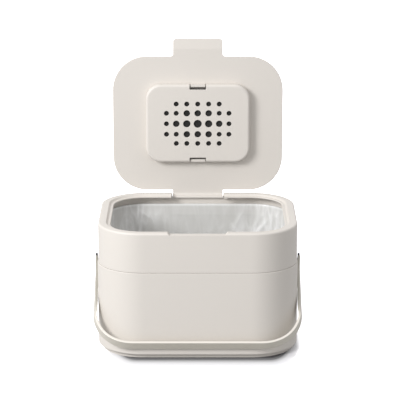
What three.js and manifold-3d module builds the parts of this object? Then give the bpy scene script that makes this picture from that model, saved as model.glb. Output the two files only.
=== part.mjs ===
// Counter-top compost bin: a bucket with a lift-off collar that clamps a liner bag,
// a hinged lid with a carbon filter under a pierced cover, and a flat carrying strap.
// Millimetres, +Z up, +X to the right of someone who stands in front, -Y towards them.
// The lid stands open and the strap is folded down against the front wall.

import * as THREE from 'three';
import { mergeVertices } from 'three/addons/utils/BufferGeometryUtils.js';
import Module from 'manifold-3d';

const wasm = await Module();
wasm.setup();

// Overall body
const BODY_WIDTH = 250;
const BODY_DEPTH = 206;
const BODY_CORNER_RADIUS = 58;
const RIM_HEIGHT = 162.8;
const SEAM_HEIGHT = 111.7;
const SEAM_CHAMFER = 0.5;

// Clearances shared by every seat and sliding fit
const SEAT_GAP = 0.3;
const FIT_GAP = 0.35;
const CUT_OVERRUN = 2;

// Bucket
const BUCKET_WALL = 2.4;
const BUCKET_FLOOR = 2.6;
const BUCKET_EDGE_RADIUS = 1.6;
const BUCKET_INNER_FILLET = 8;
const FOOT_INSET = 5;
const FOOT_HEIGHT = 5;
const FOOT_RING_WIDTH = 3;
const FOOT_RECESS = 3.4;
const NECK_WALL = 2.2;
const NECK_DROP = 15.4;
const NECK_LIP_RADIUS = 1;

// Collar
const COLLAR_WALL = 2.4;
const COLLAR_EDGE_RADIUS = 2.6;
const COLLAR_INNER_FILLET = 2;
const BAND_WIDTH = 10.5;
const STEP_RUN = 1.7;
const STEP_DEPTH = 2.4;
const LEDGE_WIDTH = 3.8;
const LEDGE_THICKNESS = 2;
const TAB_NOTCH_DEPTH = 2.8;
const TAB_NOTCH_FLOOR = 2;
const TAB_NOTCH_END_SLOPE = 1.5;
const HINGE_EAR_THICKNESS = 5;
const HINGE_EAR_WALL = 1.4;

// Liner bag
const FILM_THICKNESS = 0.6;
const BAG_CUFF_RISE = 13.7;

// Lid
const LID_SIDE_GAP = 0.6;
const LID_THICKNESS = 3;
const LID_REST_GAP = 0.4;
const LID_TOP_RADIUS = 1.2;
const LID_UNDER_RADIUS = 0.8;
const LID_OPEN_DEG = 90.6;
const TAB_WIDTH = 65.3;
const TAB_LENGTH = 23.4;
const TAB_SIDE_GAP = 2.6;
const TAB_CORNER_RADIUS = 4.5;
const TAB_ROOT_FILLET = 3.5;
const TAB_LIP_LENGTH = 13.6;
const TAB_LIP_RISE = 1.5;
const TAB_LIP_TIP_THICKNESS = 2.2;

// Lid hinge
const BARREL_RADIUS = 2;
const BARREL_WIDTH = 66.8;
const BARREL_SIDE_GAP = 1.6;
const BARREL_BACK_INSET = 2.1;
const BARREL_FILLET = 3;
const KNUCKLE_TOP_RADIUS = 1.6;
const HINGE_AXIS_DROP = 5.7;
const HINGE_PIN_RADIUS = 0.9;
const HINGE_PIN_END_WALL = 1;

// Filter housing under the lid
const COVER_WIDTH = 137;
const COVER_HEIGHT = 104.4;
const COVER_DEPTH = 11;
const COVER_SHIFT = 2.1;
const COVER_WALL = 1.8;
const COVER_CORNER_RADIUS = 20;
const COVER_EDGE_RADIUS = 3.4;
const COVER_INNER_FILLET = 1.6;
const NOTCH_WIDTH = 21.6;
const NOTCH_DEPTH = 6.5;
const RIB_WALL = 1.5;
const RIB_HEIGHT = 4;
const CLIP_SIDE_GAP = 1.2;
const CLIP_EDGE_GAP = 0.2;
const CLIP_THICKNESS = 2.8;
const CLIP_RECESS = 2.5;
const CLIP_BARB = 0.8;
const CLIP_BARB_HEIGHT = 1.6;
const PAD_RIB_GAP = 3.5;
const PAD_NOTCH_GAP = 1.2;
const PAD_CORNER_RADIUS = 14;
const PAD_EDGE_RADIUS = 1;

// Air holes: columns and rows are counted from the centre of the cover
const HOLE_COLUMNS = [0, 14.4, 28.3, 41.2];
const HOLE_ROWS = [0, 14.1, 26.5];
const HOLE_RADII = [
  [5.3, 4.8, 4.3, 3.25],
  [4.25, 4.25, 3.25, 3.25],
  [3.25, 3.25, 3.25],
];
const LID_VENT_RADIUS = 2.4;

// Carrying strap: its bar rests off the front wall, with its lower edge at a rest height
const STRAP_WIDTH = 12.8;
const STRAP_THICKNESS = 2.7;
const STRAP_SIDE_CLEARANCE = 4;
const STRAP_TAPER_DEG = 1.4;
const STRAP_CORNER_RADIUS = 50;
const STRAP_WALL_GAP = 0.6;
const STRAP_REST_HEIGHT = 14.8;
const PIVOT_DROP = 12.7;
const STRAP_END_CENTRE = 3.4;
const BUSH_TIP_OVERLAP = 1;
const BUSH_RADIUS = 4.4;
const STUD_RADIUS = 2.2;
const STUD_HEAD_RADIUS = 3.3;
const STUD_HEAD_THICKNESS = 1.1;
const STUD_HEAD_BEVEL = 0.3;
const BOSS_RADIUS = 6.2;
const BOSS_BACK_WALL = 1.1;

// Roundness of the faceted curves
const CORNER_STEPS = 10;
const SMALL_ARC_STEPS = 3;
const FILLET_STEPS = 5;
const TURN_STEPS = 16;
const HOLE_STEPS = 12;
const QUARTER_TURN = Math.PI / 2;

// Places worked out from the sizes above
const halfWidth = BODY_WIDTH / 2;
const halfDepth = BODY_DEPTH / 2;
const bodyOutline = { halfX: halfWidth, halfY: halfDepth, radius: BODY_CORNER_RADIUS };
const neckOuterInset = COLLAR_WALL + FIT_GAP + FILM_THICKNESS + FIT_GAP;
const neckInnerInset = neckOuterInset + NECK_WALL;
const neckTop = RIM_HEIGHT - NECK_DROP;
const floorTop = FOOT_RECESS + BUCKET_FLOOR;
const stepInset = BAND_WIDTH + STEP_RUN;
const ledgeInset = stepInset + LEDGE_WIDTH;
const ledgeHeight = RIM_HEIGHT - STEP_DEPTH;
const lidInset = stepInset + LID_SIDE_GAP;
const lidUnder = ledgeHeight + LID_REST_GAP;
const lidTop = lidUnder + LID_THICKNESS;
const hingeY = halfDepth - BARREL_BACK_INSET - BARREL_RADIUS;
const hingeZ = RIM_HEIGHT - HINGE_AXIS_DROP;
const hingeCutHalf = BARREL_WIDTH / 2 + BARREL_SIDE_GAP;
const hingeCutFloor = hingeZ - BARREL_RADIUS - FIT_GAP;
const pinBoreRadius = HINGE_PIN_RADIUS + FIT_GAP;
const pinBoreHalf = hingeCutHalf + HINGE_EAR_THICKNESS - HINGE_PIN_END_WALL;
const coverOutline = {
  halfX: COVER_WIDTH / 2, halfY: COVER_HEIGHT / 2, radius: COVER_CORNER_RADIUS,
};
const coverTop = lidUnder - SEAT_GAP;
const coverFace = coverTop - COVER_DEPTH;
const lidOpenAngle = THREE.MathUtils.degToRad(LID_OPEN_DEG);
const pivotHeight = SEAM_HEIGHT - PIVOT_DROP;
const strapHalfSpan = halfWidth + STRAP_SIDE_CLEARANCE + STRAP_THICKNESS;
const strapTaper = THREE.MathUtils.degToRad(STRAP_TAPER_DEG);
const strapLean = Math.tan(strapTaper);
const strapRun = halfDepth + STRAP_WALL_GAP;
const strapFall = pivotHeight - STRAP_REST_HEIGHT;
const strapInnerReach = Math.sqrt(strapRun ** 2 + strapFall ** 2 - (STRAP_WIDTH / 2) ** 2);
const strapReach = strapInnerReach + STRAP_THICKNESS;
const strapTilt = Math.atan2(strapFall, strapRun) - Math.atan2(STRAP_WIDTH / 2, strapInnerReach);
const pivotBoreRadius = STUD_RADIUS + FIT_GAP;
const bossFace = strapHalfSpan - STRAP_THICKNESS - SEAT_GAP - strapLean * BOSS_RADIUS;
const bossBoreEnd = halfWidth - BUCKET_WALL + BOSS_BACK_WALL;

// Materials
const stonePlastic = new THREE.MeshStandardMaterial({
  color: 0xdcd7d1, roughness: 0.45, metalness: 0,
});
const paintedSteel = new THREE.MeshStandardMaterial({
  color: 0xb9b4a9, roughness: 0.38, metalness: 0.35,
});
const darkPlastic = new THREE.MeshStandardMaterial({
  color: 0x4b4a47, roughness: 0.5, metalness: 0,
});
const brightSteel = new THREE.MeshStandardMaterial({
  color: 0xc9c9c7, roughness: 0.25, metalness: 1,
});
const carbonFoam = new THREE.MeshStandardMaterial({
  color: 0x161616, roughness: 1, metalness: 0,
});
const clearFilm = new THREE.MeshStandardMaterial({
  color: 0xd9dad8, roughness: 0.3, metalness: 0,
});

// Points along a circular arc, both ends included
function arcPoints(centreA, centreB, radius, fromAngle, toAngle, steps = SMALL_ARC_STEPS) {
  return Array.from({ length: steps + 1 }, (_, i) => {
    const angle = fromAngle + (toAngle - fromAngle) * i / steps;
    return [centreA + radius * Math.cos(angle), centreB + radius * Math.sin(angle)];
  });
}

// One level ring of a rounded rectangle, drawn in from its outline by an inset
function ringAt(outline, inset, height) {
  const radius = outline.radius - inset;
  const cornerX = outline.halfX - outline.radius;
  const cornerY = outline.halfY - outline.radius;
  const signs = [[1, 1], [-1, 1], [-1, -1], [1, -1]];
  return signs.flatMap(([signX, signY], quarter) => {
    const start = quarter * QUARTER_TURN;
    const arc = arcPoints(
      signX * cornerX, signY * cornerY, radius, start, start + QUARTER_TURN, CORNER_STEPS,
    );
    return arc.map(([x, y]) => new THREE.Vector3(x, y, height));
  });
}

// A profile of [inset, height] points carried round a rounded rectangle. The profile
// climbs on the outside and comes down on the inside. Open profiles end in flat faces.
function carryRound(outline, profile, closed) {
  const rings = profile.map(([inset, height]) => ringAt(outline, inset, height));
  const around = rings[0].length;
  const positions = rings.flat().flatMap((point) => point.toArray());
  const index = [];
  const spans = closed ? rings.length : rings.length - 1;
  for (let i = 0; i < spans; i += 1) {
    const low = i * around;
    const high = ((i + 1) % rings.length) * around;
    for (let j = 0; j < around; j += 1) {
      const k = (j + 1) % around;
      index.push(low + j, low + k, high + k, low + j, high + k, high + j);
    }
  }
  if (!closed) {
    const last = (rings.length - 1) * around;
    const underCentre = positions.length / 3;
    positions.push(0, 0, profile[0][1], 0, 0, profile[profile.length - 1][1]);
    for (let j = 0; j < around; j += 1) {
      const k = (j + 1) % around;
      index.push(underCentre, k, j, underCentre + 1, last + j, last + k);
    }
  }
  const geometry = new THREE.BufferGeometry();
  geometry.setAttribute('position', new THREE.Float32BufferAttribute(positions, 3));
  geometry.setIndex(index);
  return geometry;
}

function toSolid(geometry) {
  const bare = geometry.clone();
  bare.deleteAttribute('normal');
  bare.deleteAttribute('uv');
  const merged = mergeVertices(bare);
  return new wasm.Manifold(new wasm.Mesh({
    numProp: 3,
    vertProperties: new Float32Array(merged.attributes.position.array),
    triVerts: new Uint32Array(merged.index.array),
  }));
}

function toGeometry(solid) {
  const mesh = solid.getMesh();
  const geometry = new THREE.BufferGeometry();
  geometry.setAttribute('position', new THREE.BufferAttribute(mesh.vertProperties, 3));
  geometry.setIndex(new THREE.BufferAttribute(mesh.triVerts, 1));
  geometry.computeVertexNormals();
  return geometry;
}

// A plan outline in X and Y, standing from a low height to a high one
function standing(shape, low, high) {
  const geometry = new THREE.ExtrudeGeometry(shape, {
    depth: high - low, bevelEnabled: false, curveSegments: SMALL_ARC_STEPS,
  });
  return toSolid(geometry.translate(0, 0, low));
}

// A side outline in Y and Z, running from a left X to a right X
function acrossX(points, left, right) {
  const shape = new THREE.Shape(points.map(([y, z]) => new THREE.Vector2(y, z)));
  const geometry = new THREE.ExtrudeGeometry(shape, { depth: right - left, bevelEnabled: false });
  const turn = new THREE.Matrix4().makeBasis(
    new THREE.Vector3(0, 1, 0), new THREE.Vector3(0, 0, 1), new THREE.Vector3(1, 0, 0),
  );
  return toSolid(geometry.applyMatrix4(turn).translate(left, 0, 0));
}

function block(lowX, highX, lowY, highY, lowZ, highZ) {
  const geometry = new THREE.BoxGeometry(highX - lowX, highY - lowY, highZ - lowZ);
  geometry.translate((lowX + highX) / 2, (lowY + highY) / 2, (lowZ + highZ) / 2);
  return toSolid(geometry);
}

function rodAlongX(radius, left, right, y, z, steps = TURN_STEPS) {
  const geometry = new THREE.CylinderGeometry(radius, radius, right - left, steps);
  geometry.rotateZ(-QUARTER_TURN);
  return toSolid(geometry.translate((left + right) / 2, y, z));
}

function rodAlongZ(radius, x, y, low, high, steps = HOLE_STEPS) {
  const geometry = new THREE.CylinderGeometry(radius, radius, high - low, steps);
  geometry.rotateX(QUARTER_TURN);
  return toSolid(geometry.translate(x, y, (low + high) / 2));
}

// Every air hole as [x, y, radius], mirrored from one quarter of the pattern
function airHoles() {
  return HOLE_RADII.flatMap((row, rowIndex) => row.flatMap((radius, columnIndex) => {
    const x = HOLE_COLUMNS[columnIndex];
    const y = HOLE_ROWS[rowIndex];
    const xs = x === 0 ? [0] : [-x, x];
    const ys = y === 0 ? [0] : [-y, y];
    return xs.flatMap((holeX) => ys.map((holeY) => [holeX, holeY, radius]));
  }));
}

// Bucket: foot ring, straight wall, shoulder at the seam and inset neck, all one cup
function bucketSolid() {
  const wallFoot = FOOT_HEIGHT + BUCKET_EDGE_RADIUS;
  const slopeRun = neckInnerInset - BUCKET_WALL;
  const shoulderUnder = SEAM_HEIGHT - BUCKET_WALL;
  const filletInset = BUCKET_WALL + BUCKET_INNER_FILLET;
  const filletHeight = floorTop + BUCKET_INNER_FILLET;
  const profile = [
    [FOOT_INSET + FOOT_RING_WIDTH, FOOT_RECESS],
    [FOOT_INSET + FOOT_RING_WIDTH, 0],
    [FOOT_INSET, 0],
    [FOOT_INSET, FOOT_HEIGHT],
    ...arcPoints(
      BUCKET_EDGE_RADIUS, wallFoot, BUCKET_EDGE_RADIUS, -QUARTER_TURN, -2 * QUARTER_TURN,
    ),
    [0, SEAM_HEIGHT - SEAM_CHAMFER],
    [SEAM_CHAMFER, SEAM_HEIGHT],
    [neckOuterInset, SEAM_HEIGHT],
    ...arcPoints(
      neckOuterInset + NECK_LIP_RADIUS, neckTop - NECK_LIP_RADIUS, NECK_LIP_RADIUS,
      2 * QUARTER_TURN, QUARTER_TURN,
    ),
    ...arcPoints(
      neckInnerInset - NECK_LIP_RADIUS, neckTop - NECK_LIP_RADIUS, NECK_LIP_RADIUS,
      QUARTER_TURN, 0,
    ),
    [neckInnerInset, shoulderUnder],
    [BUCKET_WALL, shoulderUnder - slopeRun],
    ...arcPoints(
      filletInset, filletHeight, BUCKET_INNER_FILLET, 2 * QUARTER_TURN, 3 * QUARTER_TURN,
      FILLET_STEPS,
    ),
  ];
  return toSolid(carryRound(bodyOutline, profile, false));
}

// A round boss on each side wall carries the strap's stud in a blind bore
function bucketWithBosses() {
  return [-1, 1].reduce((bucket, side) => {
    const bossEnds = [side * (halfWidth - BUCKET_WALL / 2), side * bossFace];
    const boreEnds = [side * bossBoreEnd, side * (bossFace + CUT_OVERRUN)];
    const boss = rodAlongX(
      BOSS_RADIUS, Math.min(...bossEnds), Math.max(...bossEnds), 0, pivotHeight,
    );
    const bore = rodAlongX(
      pivotBoreRadius, Math.min(...boreEnds), Math.max(...boreEnds), 0, pivotHeight,
    );
    return bucket.add(boss).subtract(bore);
  }, bucketSolid());
}

// Collar: skirt, top band, sloping step and the ledge that the lid lies on
function collarRing() {
  const skirtFoot = SEAM_HEIGHT + SEAT_GAP;
  const ledgeUnder = ledgeHeight - LEDGE_THICKNESS;
  const bandUnder = RIM_HEIGHT - COLLAR_WALL;
  const noseRadius = LEDGE_THICKNESS / 2;
  const profile = [
    [COLLAR_WALL, skirtFoot],
    [SEAM_CHAMFER, skirtFoot],
    [0, skirtFoot + SEAM_CHAMFER],
    ...arcPoints(
      COLLAR_EDGE_RADIUS, RIM_HEIGHT - COLLAR_EDGE_RADIUS, COLLAR_EDGE_RADIUS,
      2 * QUARTER_TURN, QUARTER_TURN,
    ),
    [BAND_WIDTH, RIM_HEIGHT],
    [stepInset, ledgeHeight],
    ...arcPoints(
      ledgeInset - noseRadius, ledgeHeight - noseRadius, noseRadius,
      QUARTER_TURN, -QUARTER_TURN,
    ),
    [stepInset - STEP_RUN / 2, ledgeUnder],
    [BAND_WIDTH - STEP_RUN / 2, bandUnder],
    ...arcPoints(
      COLLAR_WALL + COLLAR_INNER_FILLET, bandUnder - COLLAR_INNER_FILLET, COLLAR_INNER_FILLET,
      QUARTER_TURN, 2 * QUARTER_TURN,
    ),
  ];
  return toSolid(carryRound(bodyOutline, profile, true));
}

// Front notch under the lid's tab: the band dips there on a floor of its own
function addTabNotch(collar) {
  const notchHalf = TAB_WIDTH / 2 + TAB_SIDE_GAP;
  const notchFloor = RIM_HEIGHT - TAB_NOTCH_DEPTH;
  const frontY = -halfDepth;
  const floorPlate = block(
    -notchHalf - COLLAR_WALL, notchHalf + COLLAR_WALL,
    frontY + COLLAR_WALL / 2, frontY + stepInset,
    notchFloor - TAB_NOTCH_FLOOR, notchFloor + TAB_NOTCH_DEPTH / 2,
  );
  const mouth = new THREE.Shape([
    new THREE.Vector2(-notchHalf, notchFloor),
    new THREE.Vector2(notchHalf, notchFloor),
    new THREE.Vector2(notchHalf + TAB_NOTCH_END_SLOPE, RIM_HEIGHT),
    new THREE.Vector2(notchHalf + TAB_NOTCH_END_SLOPE, RIM_HEIGHT + CUT_OVERRUN),
    new THREE.Vector2(-notchHalf - TAB_NOTCH_END_SLOPE, RIM_HEIGHT + CUT_OVERRUN),
    new THREE.Vector2(-notchHalf - TAB_NOTCH_END_SLOPE, RIM_HEIGHT),
  ]);
  const reach = stepInset + CUT_OVERRUN * 2;
  const geometry = new THREE.ExtrudeGeometry(mouth, { depth: reach, bevelEnabled: false });
  geometry.rotateX(QUARTER_TURN);
  geometry.translate(0, frontY - CUT_OVERRUN + reach, 0);
  return collar.add(floorPlate).subtract(toSolid(geometry));
}

// Back opening for the lid's knuckle, with an ear at each end that holds the pin
function addHingeSeat(collar) {
  const opening = block(
    -hingeCutHalf, hingeCutHalf,
    halfDepth - ledgeInset - CUT_OVERRUN, halfDepth + CUT_OVERRUN,
    hingeCutFloor, RIM_HEIGHT + CUT_OVERRUN,
  );
  const earTop = RIM_HEIGHT - COLLAR_WALL / 2;
  const earY = [hingeY - pinBoreRadius - HINGE_EAR_WALL, halfDepth - COLLAR_WALL / 2];
  const leftEar = block(
    -hingeCutHalf - HINGE_EAR_THICKNESS, -hingeCutHalf, ...earY, hingeCutFloor, earTop,
  );
  const rightEar = block(
    hingeCutHalf, hingeCutHalf + HINGE_EAR_THICKNESS, ...earY, hingeCutFloor, earTop,
  );
  const bore = rodAlongX(pinBoreRadius, -pinBoreHalf, pinBoreHalf, hingeY, hingeZ);
  return collar.subtract(opening).add(leftEar).add(rightEar).subtract(bore);
}

// Liner bag: a film cup on the bucket's inside, turned over the neck as a cuff
function bagGeometry() {
  const outerLow = BUCKET_WALL + FIT_GAP;
  const outerNeck = neckInnerInset + FIT_GAP;
  const crestUnder = neckTop + FIT_GAP;
  const crestTop = crestUnder + FILM_THICKNESS;
  const cuffInner = neckOuterInset - FIT_GAP;
  const cuffOuter = cuffInner - FILM_THICKNESS;
  const cuffFoot = SEAM_HEIGHT + BAG_CUFF_RISE;
  const slopeFoot = SEAM_HEIGHT - BUCKET_WALL - (outerNeck - outerLow);
  const filletRadius = BUCKET_INNER_FILLET;
  const floorUnder = floorTop + FIT_GAP;
  const floorInside = floorUnder + FILM_THICKNESS;
  const crestRound = NECK_LIP_RADIUS / 2;
  const profile = [
    ...arcPoints(
      outerLow + filletRadius, floorUnder + filletRadius, filletRadius,
      -QUARTER_TURN, -2 * QUARTER_TURN, FILLET_STEPS,
    ),
    [outerLow, slopeFoot - FILM_THICKNESS],
    [outerNeck, SEAM_HEIGHT - BUCKET_WALL - FILM_THICKNESS],
    [outerNeck, crestUnder],
    [cuffInner, crestUnder],
    [cuffInner, cuffFoot],
    [cuffOuter, cuffFoot],
    [cuffOuter, crestTop - crestRound],
    [cuffOuter + crestRound, crestTop],
    [outerNeck + FILM_THICKNESS - crestRound, crestTop],
    [outerNeck + FILM_THICKNESS, crestTop - crestRound],
    [outerNeck + FILM_THICKNESS, SEAM_HEIGHT - BUCKET_WALL - 2 * FILM_THICKNESS],
    [outerLow + FILM_THICKNESS, slopeFoot - 2 * FILM_THICKNESS],
    ...arcPoints(
      outerLow + FILM_THICKNESS + filletRadius, floorInside + filletRadius, filletRadius,
      2 * QUARTER_TURN, 3 * QUARTER_TURN, FILLET_STEPS,
    ),
  ];
  return carryRound(bodyOutline, profile, false);
}

// Lid panel, lying shut in the rim's rebate, with softened edges
function lidPanel() {
  const profile = [
    ...arcPoints(
      lidInset + LID_UNDER_RADIUS, lidUnder + LID_UNDER_RADIUS, LID_UNDER_RADIUS,
      -QUARTER_TURN, -2 * QUARTER_TURN, 2,
    ),
    ...arcPoints(
      lidInset + LID_TOP_RADIUS, lidTop - LID_TOP_RADIUS, LID_TOP_RADIUS,
      2 * QUARTER_TURN, QUARTER_TURN, 3,
    ),
  ];
  return toSolid(carryRound(bodyOutline, profile, false));
}

// Front tab: a plan outline with rounded corners and root fillets, cut from a side
// outline whose tip is thinner and turns up for the fingers
function lidTab() {
  const root = -(halfDepth - lidInset);
  const tip = root - TAB_LENGTH;
  const half = TAB_WIDTH / 2;
  const inner = root + TAB_CORNER_RADIUS;
  const plan = new THREE.Shape();
  plan.moveTo(-half - TAB_ROOT_FILLET, inner);
  plan.lineTo(-half - TAB_ROOT_FILLET, root);
  plan.absarc(
    -half - TAB_ROOT_FILLET, root - TAB_ROOT_FILLET, TAB_ROOT_FILLET, QUARTER_TURN, 0, true,
  );
  plan.lineTo(-half, tip + TAB_CORNER_RADIUS);
  plan.absarc(
    -half + TAB_CORNER_RADIUS, tip + TAB_CORNER_RADIUS, TAB_CORNER_RADIUS,
    2 * QUARTER_TURN, 3 * QUARTER_TURN, false,
  );
  plan.lineTo(half - TAB_CORNER_RADIUS, tip);
  plan.absarc(
    half - TAB_CORNER_RADIUS, tip + TAB_CORNER_RADIUS, TAB_CORNER_RADIUS,
    -QUARTER_TURN, 0, false,
  );
  plan.lineTo(half, root - TAB_ROOT_FILLET);
  plan.absarc(
    half + TAB_ROOT_FILLET, root - TAB_ROOT_FILLET, TAB_ROOT_FILLET,
    2 * QUARTER_TURN, QUARTER_TURN, true,
  );
  plan.lineTo(half + TAB_ROOT_FILLET, inner);
  const bend = tip + TAB_LIP_LENGTH;
  const tipTop = lidTop + TAB_LIP_RISE;
  const side = [
    [inner + CUT_OVERRUN, lidUnder], [inner + CUT_OVERRUN, lidTop], [bend, lidTop],
    [tip - CUT_OVERRUN, tipTop], [tip - CUT_OVERRUN, tipTop - TAB_LIP_TIP_THICKNESS],
    [bend, lidUnder],
  ];
  const reach = half + TAB_ROOT_FILLET + CUT_OVERRUN;
  const slab = acrossX(side.reverse(), -reach, reach);
  return standing(plan, lidUnder - LID_THICKNESS, lidTop + LID_THICKNESS).intersect(slab);
}

// Knuckle: the lid's back edge runs out over the pin and down round it
function lidKnuckle() {
  const front = hingeY - BARREL_RADIUS;
  const back = hingeY + BARREL_RADIUS;
  const inner = halfDepth - lidInset - BARREL_FILLET;
  const section = [
    [inner, lidUnder],
    ...arcPoints(
      front - BARREL_FILLET, lidUnder - BARREL_FILLET, BARREL_FILLET, QUARTER_TURN, 0,
    ),
    ...arcPoints(hingeY, hingeZ, BARREL_RADIUS, 2 * QUARTER_TURN, 4 * QUARTER_TURN, CORNER_STEPS),
    ...arcPoints(
      back - KNUCKLE_TOP_RADIUS, lidTop - KNUCKLE_TOP_RADIUS, KNUCKLE_TOP_RADIUS,
      0, QUARTER_TURN,
    ),
    [inner, lidTop],
  ];
  return acrossX(section, -BARREL_WIDTH / 2, BARREL_WIDTH / 2);
}

// Rib that centres the filter cover on the lid's under side
function coverRib() {
  const outer = COVER_WALL + FIT_GAP;
  const foot = lidUnder - RIB_HEIGHT;
  const profile = [
    [outer + RIB_WALL, foot],
    [outer, foot],
    [outer, lidUnder + LID_THICKNESS / 2],
    [outer + RIB_WALL, lidUnder + LID_THICKNESS / 2],
  ];
  return toSolid(carryRound(coverOutline, profile, true));
}

// Two spring fingers stand in the cover's notches, with a barb towards the middle
function clipFinger(side) {
  const outer = COVER_HEIGHT / 2 - CLIP_EDGE_GAP;
  const inner = outer - CLIP_THICKNESS;
  const end = coverFace + CLIP_RECESS;
  const half = NOTCH_WIDTH / 2 - CLIP_SIDE_GAP;
  const outline = [
    [outer, lidUnder + LID_THICKNESS / 2], [inner, lidUnder + LID_THICKNESS / 2],
    [inner, end + 2 * CLIP_BARB_HEIGHT], [inner - CLIP_BARB, end + CLIP_BARB_HEIGHT],
    [inner - CLIP_BARB, end + CLIP_BARB], [inner, end],
    [outer - CLIP_BARB, end], [outer, end + CLIP_BARB],
  ];
  const finger = acrossX(outline, -half, half);
  return side > 0 ? finger : finger.mirror([0, 1, 0]);
}

// What the lid carries for the filter, centred on the filter cover
function filterSeat() {
  return coverRib().add(clipFinger(1)).add(clipFinger(-1)).translate([0, -COVER_SHIFT, 0]);
}

function lidSolid() {
  const whole = lidPanel().add(lidTab()).add(lidKnuckle()).add(filterSeat());
  const pinBore = rodAlongX(
    pinBoreRadius, -BARREL_WIDTH / 2 - CUT_OVERRUN, BARREL_WIDTH / 2 + CUT_OVERRUN,
    hingeY, hingeZ,
  );
  return airHoles().reduce((lid, [x, y]) => lid.subtract(rodAlongZ(
    LID_VENT_RADIUS, x, y - COVER_SHIFT, lidUnder - CUT_OVERRUN, lidTop + CUT_OVERRUN,
  )), whole.subtract(pinBore));
}

// Filter cover: a shallow tray with rounded edges, pierced face and two clip notches
function coverSolid() {
  const innerRound = COVER_WALL + COVER_INNER_FILLET;
  const profile = [
    ...arcPoints(
      COVER_EDGE_RADIUS, coverFace + COVER_EDGE_RADIUS, COVER_EDGE_RADIUS,
      -QUARTER_TURN, -2 * QUARTER_TURN,
    ),
    [0, coverTop],
    [COVER_WALL, coverTop],
    ...arcPoints(
      innerRound, coverFace + innerRound, COVER_INNER_FILLET,
      2 * QUARTER_TURN, 3 * QUARTER_TURN, 2,
    ),
  ];
  const tray = toSolid(carryRound(coverOutline, profile, false));
  const edge = COVER_HEIGHT / 2;
  const notched = [-1, 1].reduce((cover, side) => {
    const ys = [side * (edge - NOTCH_DEPTH), side * (edge + CUT_OVERRUN)];
    return cover.subtract(block(
      -NOTCH_WIDTH / 2, NOTCH_WIDTH / 2, Math.min(...ys), Math.max(...ys),
      coverFace - CUT_OVERRUN, coverTop + CUT_OVERRUN,
    ));
  }, tray);
  return airHoles().reduce((cover, [x, y, radius]) => cover.subtract(rodAlongZ(
    radius, x, y, coverFace - CUT_OVERRUN, coverFace + COVER_WALL + CUT_OVERRUN,
  )), notched);
}

// Carbon pad: inside the lid's rib, and clear of the two notches
function padGeometry() {
  const outline = {
    halfX: COVER_WIDTH / 2 - COVER_WALL - FIT_GAP - RIB_WALL - PAD_RIB_GAP,
    halfY: COVER_HEIGHT / 2 - NOTCH_DEPTH - PAD_NOTCH_GAP,
    radius: PAD_CORNER_RADIUS,
  };
  const low = coverFace + COVER_WALL + SEAT_GAP;
  const high = lidUnder - SEAT_GAP;
  const profile = [
    [PAD_EDGE_RADIUS, low], [0, low + PAD_EDGE_RADIUS],
    [0, high - PAD_EDGE_RADIUS], [PAD_EDGE_RADIUS, high],
  ];
  return carryRound(outline, profile, false);
}

function pinGeometry() {
  const half = pinBoreHalf - SEAT_GAP;
  const bevel = HINGE_PIN_RADIUS / 3;
  const profile = [
    new THREE.Vector2(0, -half),
    new THREE.Vector2(HINGE_PIN_RADIUS - bevel, -half),
    new THREE.Vector2(HINGE_PIN_RADIUS, -half + bevel),
    new THREE.Vector2(HINGE_PIN_RADIUS, half - bevel),
    new THREE.Vector2(HINGE_PIN_RADIUS - bevel, half),
    new THREE.Vector2(0, half),
  ];
  return new THREE.LatheGeometry(profile, TURN_STEPS).rotateZ(-QUARTER_TURN);
}

// The strap's own plane: X across, Y from the pivots towards the bar. One side of the
// U is a leg that leans in, a corner arc and half of the bar, drawn in by an offset.
function strapSide(offset) {
  const centreY = strapReach - STRAP_CORNER_RADIUS;
  const touchY = centreY + STRAP_CORNER_RADIUS * Math.sin(strapTaper);
  const centreX = strapHalfSpan - strapLean * touchY
    - STRAP_CORNER_RADIUS * Math.cos(strapTaper);
  const start = -STRAP_END_CENTRE - STRAP_WIDTH;
  return [
    [strapHalfSpan - offset / Math.cos(strapTaper) - strapLean * start, start],
    ...arcPoints(
      centreX, centreY, STRAP_CORNER_RADIUS - offset, strapTaper, QUARTER_TURN, CORNER_STEPS,
    ),
  ];
}

// A flat U with round ends, before anything is cut for the bushes
function strapBlank() {
  const outer = strapSide(0);
  const inner = strapSide(STRAP_THICKNESS);
  const mirrored = (points) => points.map(([x, y]) => [-x, y]);
  const outline = [
    ...outer, ...mirrored(outer).reverse(), ...mirrored(inner), ...inner.reverse(),
  ];
  const shape = new THREE.Shape(outline.map(([x, y]) => new THREE.Vector2(x, y)));
  const half = STRAP_WIDTH / 2;
  const side = [
    [strapReach + CUT_OVERRUN, -half], [strapReach + CUT_OVERRUN, half],
    ...arcPoints(-STRAP_END_CENTRE, 0, half, QUARTER_TURN, 3 * QUARTER_TURN, CORNER_STEPS),
  ];
  const span = strapHalfSpan + STRAP_WIDTH;
  return standing(shape, -half, half).intersect(acrossX(side, -span, span));
}

// Region at a leg's end: the ring round the stud, held past its middle, and the tip
function bushRegion(growth) {
  const span = strapHalfSpan + STRAP_WIDTH;
  const tipStart = BUSH_TIP_OVERLAP - STRAP_END_CENTRE + growth;
  const ring = rodAlongX(BUSH_RADIUS + growth, -span, span, 0, 0);
  const tip = block(
    -span, span, -STRAP_END_CENTRE - STRAP_WIDTH, tipStart, -STRAP_WIDTH, STRAP_WIDTH,
  );
  return ring.add(tip);
}

function strapSolid() {
  return strapBlank().subtract(bushRegion(SEAT_GAP));
}

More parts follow.
